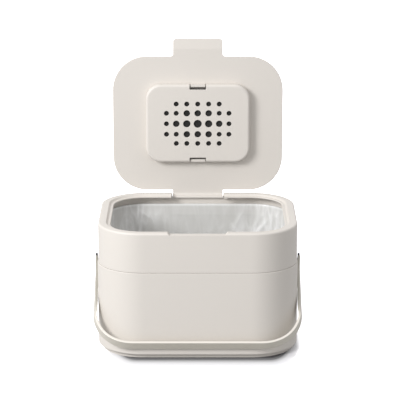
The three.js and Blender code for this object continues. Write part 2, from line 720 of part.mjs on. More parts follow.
// Bush: fills that region, turns on the stud's shank and hides the stud's flat head
function bushSolid(side) {
  const legReach = strapHalfSpan + STRAP_WIDTH;
  const legSpan = [0, side * legReach];
  const leg = block(
    Math.min(...legSpan), Math.max(...legSpan), -legReach, legReach, -STRAP_WIDTH, STRAP_WIDTH,
  );
  const headSeat = side * (strapHalfSpan - STUD_HEAD_THICKNESS - SEAT_GAP);
  const outside = side * legReach;
  const bore = rodAlongX(pivotBoreRadius, Math.min(...legSpan), Math.max(...legSpan), 0, 0);
  const counterbore = rodAlongX(
    STUD_HEAD_RADIUS + SEAT_GAP, Math.min(headSeat, outside), Math.max(headSeat, outside), 0, 0,
  );
  return strapBlank().intersect(leg).intersect(bushRegion(0)).subtract(bore)
    .subtract(counterbore);
}

// Stud: shank in the bucket's boss, flat head let into the bush
function studGeometry(side) {
  const shankEnd = bossBoreEnd + SEAT_GAP;
  const headUnder = strapHalfSpan - STUD_HEAD_THICKNESS;
  const profile = [
    [0, shankEnd], [STUD_RADIUS - STUD_HEAD_BEVEL, shankEnd],
    [STUD_RADIUS, shankEnd + STUD_HEAD_BEVEL], [STUD_RADIUS, headUnder],
    [STUD_HEAD_RADIUS, headUnder], [STUD_HEAD_RADIUS, strapHalfSpan - STUD_HEAD_BEVEL],
    [STUD_HEAD_RADIUS - STUD_HEAD_BEVEL, strapHalfSpan], [0, strapHalfSpan],
  ];
  const points = profile.map(([radius, along]) => new THREE.Vector2(radius, along));
  return new THREE.LatheGeometry(points, TURN_STEPS).rotateZ(-side * QUARTER_TURN);
}

function piece(name, geometry, material) {
  const mesh = new THREE.Mesh(geometry, material);
  mesh.name = name;
  return mesh;
}

// Bucket with its liner and studs
function bucketGroup() {
  const group = new THREE.Group();
  group.add(piece('bucket', toGeometry(bucketWithBosses()), stonePlastic));
  group.add(piece('liner_bag', bagGeometry(), clearFilm));
  const studs = [['pivot_stud_left', -1], ['pivot_stud_right', 1]];
  studs.forEach(([name, side]) => {
    const stud = piece(name, studGeometry(side), brightSteel);
    stud.position.z = pivotHeight;
    group.add(stud);
  });
  return group;
}

function collarGroup() {
  const group = new THREE.Group();
  const collar = addHingeSeat(addTabNotch(collarRing()));
  group.add(piece('collar', toGeometry(collar), stonePlastic));
  const pin = piece('hinge_pin', pinGeometry(), brightSteel);
  pin.position.set(0, hingeY, hingeZ);
  group.add(pin);
  return group;
}

// The lid and what it carries are shaped shut and then swung open about the pin
function lidGroup() {
  const group = new THREE.Group();
  const shut = new THREE.Group();
  shut.position.set(0, -hingeY, -hingeZ);
  shut.add(piece('lid', toGeometry(lidSolid()), stonePlastic));
  const filter = new THREE.Group();
  filter.position.y = -COVER_SHIFT;
  filter.add(piece('filter_cover', toGeometry(coverSolid()), stonePlastic));
  filter.add(piece('filter_pad', padGeometry(), carbonFoam));
  shut.add(filter);
  group.add(shut);
  group.position.set(0, hingeY, hingeZ);
  group.rotation.x = -lidOpenAngle;
  return group;
}

// The strap hangs from its pivots with the bar against the bucket's front wall
function handleGroup() {
  const group = new THREE.Group();
  group.add(piece('handle_strap', toGeometry(strapSolid()), paintedSteel));
  group.add(piece('handle_bush_left', toGeometry(bushSolid(-1)), darkPlastic));
  group.add(piece('handle_bush_right', toGeometry(bushSolid(1)), darkPlastic));
  group.position.z = pivotHeight;
  group.rotation.x = 2 * QUARTER_TURN + strapTilt;
  return group;
}

const compostBin = new THREE.Group();
compostBin.add(bucketGroup(), collarGroup(), lidGroup(), handleGroup());

// The origin is the middle of the floor that the bin covers, lid open and strap down
const footprint = new THREE.Box3().setFromObject(compostBin, true);
compostBin.position.y = -(footprint.min.y + footprint.max.y) / 2;

export default compostBin;
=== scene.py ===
# %% [markdown]
# # A counter-top compost bin, dressed for rendering
#
# The bin stands open: a rounded bucket, a loose collar on top that clamps a thin liner
# bag, a lid swung up behind with a pierced filter cover on it, and a flat steel strap
# folded down in front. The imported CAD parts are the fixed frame. Every mesh made below
# stands where its CAD part stands, in metres, with +Z up and the front towards -Y.

# %% Load the fixed frame
import math

import bmesh
import bpy
import numpy as np
from mathutils import Matrix, Vector


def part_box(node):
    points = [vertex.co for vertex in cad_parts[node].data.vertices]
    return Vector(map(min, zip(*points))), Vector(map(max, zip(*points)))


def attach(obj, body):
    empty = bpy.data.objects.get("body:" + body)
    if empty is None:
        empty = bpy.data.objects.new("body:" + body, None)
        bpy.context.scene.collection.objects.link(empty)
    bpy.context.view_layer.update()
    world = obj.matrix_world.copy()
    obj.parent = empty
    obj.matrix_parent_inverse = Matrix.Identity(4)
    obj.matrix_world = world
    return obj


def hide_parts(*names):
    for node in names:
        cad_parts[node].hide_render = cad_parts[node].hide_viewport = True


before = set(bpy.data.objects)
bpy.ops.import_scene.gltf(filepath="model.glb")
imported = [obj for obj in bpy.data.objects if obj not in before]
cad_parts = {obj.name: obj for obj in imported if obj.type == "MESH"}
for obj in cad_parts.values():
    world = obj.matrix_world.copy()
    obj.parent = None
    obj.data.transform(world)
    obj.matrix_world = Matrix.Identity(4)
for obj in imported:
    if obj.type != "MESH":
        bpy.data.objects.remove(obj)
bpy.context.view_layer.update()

# %% [markdown]
# ## The sizes that the parts share
#
# The CAD model is faceted, which is right for machining and collision but shows as flats
# on a glossy wall. The smooth versions below repeat its sizes, in millimetres. Lengths
# are turned into metres only when a mesh is made. The body's middle isn't quite the
# frame's origin, because the strap and the lid count in the frame too, so it is read.

# %% Sizes in millimetres
MM = 0.001
HALF_WIDTH, HALF_DEPTH, CORNER = 125.0, 103.0, 58.0
RIM, SEAM, NECK_TOP = 162.8, 111.7, 147.4
LEDGE, LEDGE_INSET, STEP_INSET, BAND = 160.4, 16.0, 12.2, 10.5
LID_INSET, LID_UNDER, LID_TOP = 12.8, 160.8, 163.8
HINGE_Y, HINGE_Z, OPEN_DEGREES = 98.9, 157.1, 90.6
PIVOT_Z, STRAP_TILT = 99.0, 35.85
COVER_X, COVER_Y, COVER_CORNER, COVER_SHIFT = 68.5, 52.2, 20.0, 2.1
COVER_FACE, COVER_TOP = 149.5, 160.5

bucket_low, bucket_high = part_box("bucket")
MIDDLE_Y = (bucket_low.y + bucket_high.y) / 2 / MM
print(f"the body's middle is {MIDDLE_Y:.2f} mm behind the origin")

# %% [markdown]
# ## The camera
#
# A product photographer stands well back with a long lens, so that the bin's sides stay
# nearly parallel. The camera is 2.4 m in front, 0.8 m up and looks down by 14.7 degrees.

# %% Camera
CAMERA_PLACE = (0.00344, -2.35921, 0.79910)
CAMERA_PITCH = 0.256897
CAMERA_YAW = 0.000206
CAMERA_LENS = 171.417

camera_data = bpy.data.cameras.new("camera")
camera_data.sensor_width = 36
camera_data.lens = CAMERA_LENS
camera = bpy.data.objects.new("camera", camera_data)
camera.location = CAMERA_PLACE
camera.rotation_euler = (math.pi / 2 - CAMERA_PITCH, 0, CAMERA_YAW)
bpy.context.scene.collection.objects.link(camera)
bpy.context.scene.camera = camera
print("camera looks down by", round(math.degrees(CAMERA_PITCH), 2), "degrees")

# %% [markdown]
# ## Outlines and profiles
#
# Nearly every moulding here is one profile carried round a rounded rectangle. Seen from
# above, an outline is a chain of straight lines and arcs, and each of its points knows
# which way is out. A profile is a list of steps: how far in from the outline, and how
# high. Drawing every point in along its own normal gives the whole wall at once.

# %% Chains of lines and arcs
def line(start, end, normal, steps=6):
    """Points start + (end - start) * t, with t closer together near both ends, so that
    the shading of a bend doesn't spread over the flat beside it."""
    t = 0.5 - 0.5 * np.cos(np.linspace(0, math.pi, steps + 1))
    points = np.array(start) + np.outer(t, np.subtract(end, start))
    return points, np.tile(np.array(normal, float), (steps + 1, 1))


def bend(centre, radius, start, end, steps=16, hollow=False):
    """Points centre + radius * (cos a, sin a), with a in degrees from start to end. The
    normal points away from the centre, or to it where the bend is hollow."""
    a = np.radians(np.linspace(start, end, steps + 1))
    out = np.stack([np.cos(a), np.sin(a)], axis=1)
    return np.array(centre) + radius * out, -out if hollow else out


def chain(*parts):
    """One closed outline: the parts end to end, without points that repeat."""
    points = np.concatenate([p for p, _ in parts])
    normals = np.concatenate([n for _, n in parts])
    apart = np.linalg.norm(points - np.roll(points, 1, axis=0), axis=1) > 1e-6
    return points[apart], normals[apart]


def rounded_rectangle(half_x, half_y, radius, corner_steps=20, side_steps=10):
    """Four quarter circles about (+-(half_x - radius), +-(half_y - radius)), with straight
    sides between them, anticlockwise."""
    x, y = half_x - radius, half_y - radius
    return chain(
        bend((x, y), radius, 0, 90, corner_steps),
        line((x, half_y), (-x, half_y), (0, 1), side_steps),
        bend((-x, y), radius, 90, 180, corner_steps),
        line((-half_x, y), (-half_x, -y), (-1, 0), side_steps),
        bend((-x, -y), radius, 180, 270, corner_steps),
        line((-x, -half_y), (x, -half_y), (0, -1), side_steps),
        bend((x, -y), radius, 270, 360, corner_steps),
        line((half_x, -y), (half_x, y), (1, 0), side_steps),
    )


def arc(inset, height, radius, start, end, steps=5):
    """Profile points (inset, height) + radius * (cos a, sin a), a in degrees."""
    return bend((inset, height), radius, start, end, steps)[0]


def profile(*parts):
    """One array of points from single points and arcs, in the order given."""
    return np.concatenate([np.atleast_2d(np.array(p, float)) for p in parts])


# The side walls stand 0.9 mm further out than the CAD's, where the photograph shows them.
BODY_HALF = HALF_WIDTH + 0.9
BODY = rounded_rectangle(BODY_HALF, HALF_DEPTH, CORNER)
print("body outline:", len(BODY[0]), "points")

# %% [markdown]
# ## From numbers to meshes
#
# A grid of points becomes a mesh when each point is joined to the next one along and
# the next one up. A closed loop joins its last row or column to its first. Flat ends are
# closed by one many-sided face. The signed volume says whether the faces point out: it
# is positive only if they do.

# %% Grids and meshes
def grid_faces(rows, columns, closed=False, low_end=True, high_end=True, first=0):
    """Quads (r, c), (r, c+1), (r+1, c+1), (r+1, c), as point numbers first + r * columns + c.
    Unless the rows close on themselves, a flat face goes over each end that is wanted."""
    r = np.arange(rows if closed else rows - 1)[:, None]
    c = np.arange(columns)[None]
    up, right = (r + 1) % rows, (c + 1) % columns
    corners = [r * columns + c, r * columns + right, up * columns + right, up * columns + c]
    faces = (first + np.stack(corners, axis=-1).reshape(-1, 4)).tolist()
    if low_end and not closed:
        faces.append(list(range(first, first + columns))[::-1])
    if high_end and not closed:
        faces.append(list(range(first + (rows - 1) * columns, first + rows * columns)))
    return faces


def points_of(mesh):
    """The mesh's points in metres, one row each."""
    points = np.zeros(len(mesh.vertices) * 3)
    mesh.vertices.foreach_get("co", points)
    return points.reshape(-1, 3)


def volume_of(mesh):
    """Sum over triangles of a . (b x c) / 6."""
    mesh.calc_loop_triangles()
    corners = np.zeros(len(mesh.loop_triangles) * 3, np.int64)
    mesh.loop_triangles.foreach_get("vertices", corners)
    a, b, c = points_of(mesh)[corners.reshape(-1, 3)].transpose(1, 0, 2)
    return float(np.einsum("ij,ij->", a, np.cross(b, c)) / 6)


def new_object(name, points, faces):
    """A mesh object from points in millimetres, its place in its mesh."""
    mesh = bpy.data.meshes.new(name)
    mesh.from_pydata((np.reshape(points, (-1, 3)) * MM).tolist(), [], faces)
    mesh.validate()
    if volume_of(mesh) < 0:
        mesh.flip_normals()
    made = bpy.data.objects.new(name, mesh)
    bpy.context.scene.collection.objects.link(made)
    return made


def set_share(piece, name, values):
    """Keeps a number from 0 to 1 at each point, for the material to read."""
    shares = piece.data.attributes.new(name, "FLOAT", "POINT")
    shares.data.foreach_set("value", np.ravel(values).astype(np.float32))


print("a closed tube of 3 by 4 points has", len(grid_faces(3, 4)), "faces")

# %% [markdown]
# ## Sweeps, prisms and holes
#
# Three makers cover nearly all the mouldings: a profile carried round an outline, a flat
# section drawn out to a prism, and turned cutters for holes. They could be modelled by
# hand with bevels and insets, but a formula keeps every corner radius where the real
# mould has it, and a changed size moves all that follows it.

# %% Sweeps, prisms and turned cutters
def carried(name, outline, steps, closed=False):
    """Point (r, c) = outline point c - inset r * its normal, at height r. A closed
    profile is a ring; an open one ends in two flat faces."""
    points, normals = outline
    inset, height = steps[:, 0], steps[:, 1]
    plan = points[None] - inset[:, None, None] * normals[None]
    level = np.broadcast_to(height[:, None, None], plan.shape[:2] + (1,))
    faces = grid_faces(*plan.shape[:2], closed=closed)
    return new_object(name, np.concatenate([plan, level], axis=2), faces)


def extruded(name, section, low, high, axes=(1, 2, 0)):
    """A prism: the section's two numbers go to the first two axes, low and high to the
    third. Axes (1, 2, 0) draw in Y and Z and run along X."""
    points = np.zeros((2, len(section), 3))
    points[..., axes[0]] = section[:, 0]
    points[..., axes[1]] = section[:, 1]
    points[0, :, axes[2]], points[1, :, axes[2]] = low, high
    return new_object(name, points, grid_faces(2, len(section)))


def box_section(low, high):
    """The corners of a rectangle, from (u, v) low to (u, v) high."""
    return np.array([low, (high[0], low[1]), high, (low[0], high[1])], float)


def drilled(name, centres, radii, steps, turns=28):
    """One turned cutter at each centre (x, y): point (hole, r, c) = centre + (radius +
    growth r) * (cos, sin), at height r. Steps are (growth, height)."""
    a = np.linspace(0, 2 * math.pi, turns, endpoint=False)
    reach = np.array(radii, float)[:, None, None] + steps[None, :, :1]
    x = np.array(centres)[:, 0, None, None] + reach * np.cos(a)
    y = np.array(centres)[:, 1, None, None] + reach * np.sin(a)
    z = np.broadcast_to(steps[None, :, 1:], x.shape)
    rows = len(steps)
    faces = []
    for hole in range(len(radii)):
        faces += grid_faces(rows, turns, first=hole * rows * turns)
    return new_object(name, np.stack([x, y, z], axis=-1), faces)


# %% [markdown]
# ## Cutting, welding and finishing
#
# A boolean welds a boss on or cuts a hole, as a maker would in CAD, and its result
# replaces the mesh at once, so that no hidden tool is left in the scene. Every finished
# piece then gets smooth shading with crisp edges, is hung on the body it rides on, wears
# its finish, and hides the CAD parts it stands for.

# %% Booleans and finishing
def combine(target, tool, operation):
    """Cuts the tool from the target or welds it on, and deletes the tool."""
    step = target.modifiers.new("combine", "BOOLEAN")
    step.operation, step.solver, step.object = operation, "EXACT", tool
    graph = bpy.context.evaluated_depsgraph_get()
    result = bpy.data.meshes.new_from_object(target.evaluated_get(graph))
    target.modifiers.clear()
    target.data = result
    bpy.data.objects.remove(tool)
    return target


def finish_piece(piece, body, nodes, material, sharp_degrees=32):
    """Smooth shading with crisp edges, its finish, the body it rides on, and its CAD parts hidden.
    """
    mesh = piece.data
    mesh.name = piece.name
    mesh.materials.clear()
    mesh.materials.append(material)
    mesh.shade_smooth()
    mesh.set_sharp_from_angle(angle=math.radians(sharp_degrees))
    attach(piece, body)
    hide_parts(*nodes)
    print(f"{piece.name}: {len(mesh.polygons)} faces, {volume_of(mesh) * 1e6:.1f} cm3")
    return piece


def weigh_normals(piece):
    """Lets the big flat faces rule the shading beside the small rounded ones."""
    step = piece.modifiers.new("flat faces first", "WEIGHTED_NORMAL")
    step.keep_sharp = True
    step.weight = 90


# %% [markdown]
# ## Moving parts into place
#
# The lid and the strap are shaped where they are easiest to draw, the lid lying shut and
# the strap flat in its own plane. One turn about the hinge or pivot line then puts the
# finished mesh where the CAD part is.

# %% Shifting and turning a finished mesh
def shifted(piece, y=0.0, z=0.0):
    """Moves the mesh by millimetres. The object itself stays at the origin."""
    piece.data.transform(Matrix.Translation((0, y * MM, z * MM)))


def turned_about(piece, y, z, degrees):
    """Turns the mesh about the line through (y, z) along X, then shifts it with the body."""
    there = Matrix.Translation((0, y * MM, z * MM))
    turn = Matrix.Rotation(math.radians(degrees), 4, "X")
    piece.data.transform(there @ turn @ there.inverted())
    shifted(piece, y=MIDDLE_Y)


# %% [markdown]
# ## Node groups for the finishes
#
# Several finishes share the same small effects, so each effect is a node group that is
# built once. A mould leaves a fine satin grain and, over a hand's breadth, the colour
# drifts by a percent or two. Handling leaves faint smears that only the gloss shows.

# %% Making and filling nodes
def plug(tree, node, values):
    """Fills sockets by name or number: another socket is linked, a value is written."""
    for name, value in values.items():
        if isinstance(value, bpy.types.NodeSocket):
            tree.links.new(value, node.inputs[name])
        else:
            node.inputs[name].default_value = value
    return node


def add_node(tree, kind, values):
    return plug(tree, tree.nodes.new("ShaderNode" + kind), values)


def add_math(tree, operation, *values):
    node = add_node(tree, "Math", dict(enumerate(values)))
    node.operation = operation
    return node.outputs[0]


def add_noise(tree, vector, scale, detail=2.0, roughness=0.5):
    values = {"Vector": vector, "Scale": scale, "Detail": detail, "Roughness": roughness}
    return add_node(tree, "TexNoise", values).outputs["Fac"]


def add_mapping(tree, vector, scale, turn=0.0):
    values = {"Vector": vector, "Scale": scale, "Rotation": (0, 0, turn)}
    return add_node(tree, "Mapping", values).outputs["Vector"]


def add_ramp(tree, share, stops):
    """A colour ramp through (position, colour) stops, which are given from low to high."""
    ramp = add_node(tree, "ValToRGB", {"Fac": share})
    elements = ramp.color_ramp.elements
    for number, (position, colour) in enumerate(stops):
        element = elements[number] if number < 2 else elements.new(position)
        element.position, element.color = position, (*colour, 1)
    return ramp.outputs["Color"]


def read_share(tree, name):
    """The number that the mesh keeps at its points under this name."""
    node = tree.nodes.new("ShaderNodeAttribute")
    node.attribute_name = name
    return node.outputs["Fac"]


def new_group(name, inputs, outputs):
    group = bpy.data.node_groups.new(name, "ShaderNodeTree")
    for label, kind, value in inputs:
        socket = group.interface.new_socket(name=label, in_out="INPUT", socket_type=kind)
        if value is not None:
            socket.default_value = value
    for label, kind in outputs:
        group.interface.new_socket(name=label, in_out="OUTPUT", socket_type=kind)
    entry = group.nodes.new("NodeGroupInput")
    return group, entry.outputs, group.nodes.new("NodeGroupOutput")


# %% Group: moulded grain
FLOAT, COLOUR, VECTOR = "NodeSocketFloat", "NodeSocketColor", "NodeSocketVector"
grain_group, given, leave = new_group(
    "moulded_grain",
    [("Vector", VECTOR, None), ("Colour", COLOUR, None), ("Drift", FLOAT, 0.03),
     ("Grain Scale", FLOAT, 1500.0), ("Roughness", FLOAT, 0.45), ("Smear", FLOAT, 0.1)],
    [("Colour", COLOUR), ("Roughness", FLOAT), ("Height", FLOAT)],
)


def centred_noise(scale, detail, roughness, strength):
    """(noise - 0.5) * strength, from -strength / 2 to strength / 2."""
    noise = add_noise(grain_group, given["Vector"], scale, detail, roughness)
    return add_math(grain_group, "MULTIPLY", add_math(grain_group, "SUBTRACT", noise, 0.5), strength)


drift = add_math(grain_group, "ADD", centred_noise(11.0, 2.0, 0.5, given["Drift"]), 1.0)
shade = add_node(grain_group, "HueSaturation", {"Color": given["Colour"], "Value": drift})
smear = centred_noise(38.0, 4.0, 0.6, given["Smear"])
plug(grain_group, leave, {
    "Colour": shade.outputs["Color"],
    "Roughness": add_math(grain_group, "ADD", given["Roughness"], smear),
    "Height": add_noise(grain_group, given["Vector"], given["Grain Scale"], 3.0),
})
print("group moulded_grain:", len(grain_group.nodes), "nodes")

# %% [markdown]
# ## The finishes
#
# Warm stone-white plastic with a satin mould grain makes the body. The strap is steel
# under a smooth stone-grey paint. Its edges are drawn lighter along the bar, a painted
# highlight, and darker on the legs, a painted shade; a number on the mesh's points tells
# the ramp which. Its end tips are dark plastic, the pins are bare drawn steel, and the
# filter is black foam, full of open cells. All of it is procedural, so it holds up from
# any distance.

# %% Plastics and paint
def new_material(name, colour, roughness, metallic=0.0):
    material = bpy.data.materials.new(name)
    material.use_nodes = True
    tree = material.node_tree
    values = {"Base Color": (*colour, 1), "Roughness": roughness, "Metallic": metallic}
    return material, tree, plug(tree, tree.nodes["Principled BSDF"], values)


def object_coordinates(tree):
    return tree.nodes.new("ShaderNodeTexCoord").outputs["Object"]


def add_bump(tree, shader, height, strength, distance):
    values = {"Height": height, "Strength": strength, "Distance": distance}
    plug(tree, shader, {"Normal": add_node(tree, "Bump", values).outputs["Normal"]})


def add_group(tree, shared, values):
    group = tree.nodes.new("ShaderNodeGroup")
    group.node_tree = shared
    return plug(tree, group, values)


def grained(name, colour, roughness, metallic=0.0, drift=0.03, grain_scale=1500.0, smear=0.1):
    """A material that takes its colour, gloss and relief from the moulded grain."""
    material, tree, shader = new_material(name, colour, roughness, metallic)
    group = add_group(tree, grain_group, {
        "Vector": object_coordinates(tree), "Colour": (*colour, 1), "Drift": drift,
        "Grain Scale": grain_scale, "Roughness": roughness, "Smear": smear,
    })
    sources = {"Base Color": group.outputs["Colour"], "Roughness": group.outputs["Roughness"]}
    plug(tree, shader, sources)
    add_bump(tree, shader, group.outputs["Height"], 0.25, 0.00004)
    return material, tree, shader, group


STONE = (0.72, 0.68, 0.635)
# The strap's paint, with a darker colour for the painted shade on its legs' edges and a lighter one
# for the painted highlight on its bar's edges.
PAINTED_SHADE, PAINT, PAINTED_HIGHLIGHT = (0.35, 0.335, 0.29), (0.62, 0.585, 0.515), (0.80, 0.76, 0.70)
stone_plastic = grained("stone_plastic", STONE, 0.46)[0]
dark_plastic = grained(
    "dark_plastic", (0.045, 0.045, 0.043), 0.5, drift=0.1, grain_scale=1800.0,
)[0]
strap_paint, tree, shader, paint_grain = grained(
    "strap_paint", PAINT, 0.36, metallic=0.22, drift=0.04, grain_scale=2600.0, smear=0.12,
)
# The ramp reads the share kept at the strap's points: painted shade, plain paint, painted highlight.
edge_light_colour = add_ramp(tree, read_share(tree, "edge_light"), ((0, PAINTED_SHADE), (0.5, PAINT), (1, PAINTED_HIGHLIGHT)))
plug(tree, paint_grain, {"Colour": edge_light_colour})
shader.inputs["Coat Weight"].default_value = 0.25
shader.inputs["Coat Roughness"].default_value = 0.2

# %% Steel and foam
pin_steel, tree, shader = new_material("pin_steel", (0.6, 0.6, 0.59), 0.28, metallic=1.0)
drawn = add_noise(tree, add_mapping(tree, object_coordinates(tree), (40, 4000, 4000)), 1.0, 3.0)
plug(tree, shader, {"Roughness": add_math(tree, "MULTIPLY_ADD", drawn, 0.25, 0.16)})
add_bump(tree, shader, drawn, 0.2, 0.00002)

carbon_foam, tree, shader = new_material("carbon_foam", (0.008, 0.008, 0.008), 0.95)
cells = add_node(tree, "TexVoronoi", {"Vector": object_coordinates(tree), "Scale": 900})
cell_depth = cells.outputs["Distance"]
# The foam is black, and is drawn darker still at the bottom of each cell's hollow, a painted shade.
foam_black_and_pit_shade = add_ramp(tree, cell_depth, ((0, (0.002, 0.002, 0.002)), (0.9, (0.03, 0.03, 0.029))))
plug(tree, shader, {"Base Color": foam_black_and_pit_shade})
add_bump(tree, shader, cell_depth, 0.9, 0.0006)
print("materials:", [m.name for m in bpy.data.materials])

# %% [markdown]
# ## The bucket
#
# One cup: a foot ring, a straight wall, a shoulder where the collar's edge sits, and a
# neck set in from it. The profile climbs on the outside, turns over the neck's lip and
# comes down on the inside, and every corner that shows is a short arc. A cube with a
# bevel and a Solidify wall would be quicker, but has one thickness and one radius.
# Below the seam the cup is a little wider than the collar, so its points there are drawn
# out sideways. A round boss on each side carries the strap, welded on as a turned solid.

# %% Bucket
BUCKET_HALF = HALF_WIDTH + 1.7
FOOT_INSET, FOOT_WIDE, FOOT_TOP, FOOT_ROUND, FOOT_RECESS = 5.0, 3.0, 5.0, 0.5, 3.4
ANKLE_ROUND, BASE_ROUND, SHOULDER_ROUND = 0.4, 1.6, 0.9
FLOOR_TOP, FLOOR_ROUND, WALL = 6.0, 8.0, 2.4
NECK_OUTER, NECK_INNER, NECK_FOOT, LIP_ROUND = 3.7, 5.9, 103.5, 1.0
HAUNCH_ROUND, HAUNCH_DROP = 2.0, 3.0
BOSS_RADIUS, BOSS_FACE, BOSS_ROUND, BOSS_FLARE = 6.2, 128.3, 0.6, 0.9
STUD_BORE, BORE_END = 2.55, 123.7

# A single point on a flat, a little way from a bend, keeps the bend's shading off the flat.
bucket_steps = profile(
    (FOOT_INSET + FOOT_WIDE, FOOT_RECESS),
    arc(FOOT_INSET + FOOT_WIDE - FOOT_ROUND, FOOT_ROUND, FOOT_ROUND, 0, -90, 3),
    arc(FOOT_INSET + FOOT_ROUND, FOOT_ROUND, FOOT_ROUND, 270, 180, 3),
    (FOOT_INSET, FOOT_TOP - ANKLE_ROUND),
    arc(FOOT_INSET - ANKLE_ROUND, FOOT_TOP - ANKLE_ROUND, ANKLE_ROUND, 0, 90, 3)[1:],
    arc(BASE_ROUND, FOOT_TOP + BASE_ROUND, BASE_ROUND, 270, 180, 8), (0, 12), (0, SEAM - 4),
    arc(SHOULDER_ROUND, SEAM - SHOULDER_ROUND, SHOULDER_ROUND, 180, 90, 5), (1.5, SEAM),
    (NECK_OUTER, SEAM), (NECK_OUTER, SEAM + 2), (NECK_OUTER, NECK_TOP - 3),
    arc(NECK_OUTER + LIP_ROUND, NECK_TOP - LIP_ROUND, LIP_ROUND, 180, 90),
    arc(NECK_INNER - LIP_ROUND, NECK_TOP - LIP_ROUND, LIP_ROUND, 90, 0), (NECK_INNER, SEAM),
    arc(NECK_INNER - HAUNCH_ROUND, SEAM - HAUNCH_DROP, HAUNCH_ROUND, 0, -40, 3),
    arc(WALL + HAUNCH_ROUND, NECK_FOOT, HAUNCH_ROUND, 140, 180, 3), (WALL, 20),
    arc(WALL + FLOOR_ROUND, FLOOR_TOP + FLOOR_ROUND, FLOOR_ROUND, 180, 270, 8),
    (WALL + 12, FLOOR_TOP),
)
bucket_shell = carried("bucket_shell", BODY, bucket_steps)
cup = points_of(bucket_shell.data)
cup[:, 0] *= np.where(cup[:, 2] < (SEAM + 0.1) * MM, BUCKET_HALF / BODY_HALF, 1.0)
bucket_shell.data.vertices.foreach_set("co", cup.ravel())
boss_steps = profile(
    (BOSS_RADIUS + BOSS_FLARE, BODY_HALF - 1.2),
    arc(BOSS_RADIUS + BOSS_FLARE, BUCKET_HALF + BOSS_FLARE, BOSS_FLARE, 270, 180, 4),
    arc(BOSS_RADIUS - BOSS_ROUND, BOSS_FACE - BOSS_ROUND, BOSS_ROUND, 0, 90, 3),
)
bore_steps = profile((0, BORE_END), (0, BOSS_FACE + 2.7))
for side in (-1, 1):
    boss = drilled("boss", [(0, 0)], [0.0], boss_steps, 40)
    bore = drilled("bore", [(0, 0)], [STUD_BORE], bore_steps, 32)
    for tool, operation in ((boss, "UNION"), (bore, "DIFFERENCE")):
        tool.data.transform(Matrix.Rotation(side * math.pi / 2, 4, "Y"))
        shifted(tool, z=PIVOT_Z)
        combine(bucket_shell, tool, operation)
shifted(bucket_shell, y=MIDDLE_Y)
finish_piece(bucket_shell, "bucket", ["bucket"], stone_plastic)
weigh_normals(bucket_shell)

# %% [markdown]
# ## The collar
#
# The collar's top is a flat band, then a short slope down to a narrow ledge for the lid.
# It is the same kind of sweep, but as a closed ring. Two places break it: a shallow dip
# in front for the finger tab, with a welded plate for its floor, and a gap at the back
# for the lid's knuckle. The dip's cutter has rounded corners, as a mould has, and the
# gap's is a plain box. Blocks welded in beside the gap make the two ears that hold the
# hinge wire, and end in the middle of the wall.

# %% Collar ring
COLLAR_WALL, COLLAR_GAP, INNER_ROUND, RIM_ROUND, SOFT = 2.4, 0.3, 2.0, 2.6, 0.5
BAND_ROUND, NOSE_ROUND, SLOPE_IN, SLOPE_OUT = 0.9, 1.0, 11.4, 9.6
LEDGE_UNDER, BAND_UNDER = LEDGE - 2 * NOSE_ROUND, RIM - COLLAR_WALL
collar_steps = profile(
    (COLLAR_WALL, SEAM + COLLAR_GAP), (1.2, SEAM + COLLAR_GAP),
    arc(SOFT, SEAM + COLLAR_GAP + SOFT, SOFT, 270, 180, 4), (0, SEAM + 4), (0, RIM - 6),
    arc(RIM_ROUND, RIM - RIM_ROUND, RIM_ROUND, 180, 90, 8), (RIM_ROUND + 1, RIM),
    (BAND - 1.3, RIM), arc(BAND - 0.7, RIM - BAND_ROUND, BAND_ROUND, 90, 36, 4),
    arc(STEP_INSET + 0.3, LEDGE + SOFT, SOFT, 216, 270, 3), (STEP_INSET + 1, LEDGE),
    (LEDGE_INSET - 1.8, LEDGE),
    arc(LEDGE_INSET - NOSE_ROUND, LEDGE - NOSE_ROUND, NOSE_ROUND, 90, -90, 8),
    (LEDGE_INSET - 2.2, LEDGE_UNDER), (SLOPE_IN, LEDGE_UNDER), (SLOPE_OUT, BAND_UNDER),
    (6.5, BAND_UNDER),
    arc(COLLAR_WALL + INNER_ROUND, LEDGE_UNDER, INNER_ROUND, 90, 180, 5),
    (COLLAR_WALL, 150), (COLLAR_WALL, SEAM + 6),
)
collar_shell = carried("collar_shell", BODY, collar_steps, closed=True)

# %% Tab notch, hinge gap and ears
NOTCH_HALF, NOTCH_FLOOR, NOTCH_SLOPE = 35.25, 160.0, 1.5
LEDGE_CUT_FLOOR, LEDGE_CUT_FROM = 157.0, 10.6
PLATE_DEEP, PLATE_PROUD, PLATE_PAST = 2.0, 1.4, 2.4
GAP_HALF, GAP_FLOOR, EAR_WIDE, EAR_WALL = 35.0, 154.75, 5.0, 1.4
WEB_FRONT, WEB_GAP, WEB_OVERLAP = 99.5, 0.45, 1.0
KNUCKLE_HALF, BARREL, PIN_BORE, BORE_HALF = 33.4, 2.0, 1.25, 39.0
FRONT, BACK, MIDWALL, OVERRUN = -HALF_DEPTH, HALF_DEPTH, COLLAR_WALL / 2, 2.0


def opened_mouth(floor, round_in=0.5, round_out=0.8):
    """Half of the notch, mirrored: a flat floor, a small hollow corner, a sloping end and
    a rounded lip where it meets the band."""
    lip = NOTCH_HALF + NOTCH_SLOPE + round_out
    right = profile(
        arc(NOTCH_HALF - round_in, floor + round_in, round_in, 270, 350, 4),
        (NOTCH_HALF + NOTCH_SLOPE * 0.5, (floor + RIM) / 2),
        arc(lip, RIM - round_out, round_out, 170, 90, 4), (lip, RIM + 3),
    )
    return np.concatenate([right, right[::-1] * (-1, 1)])


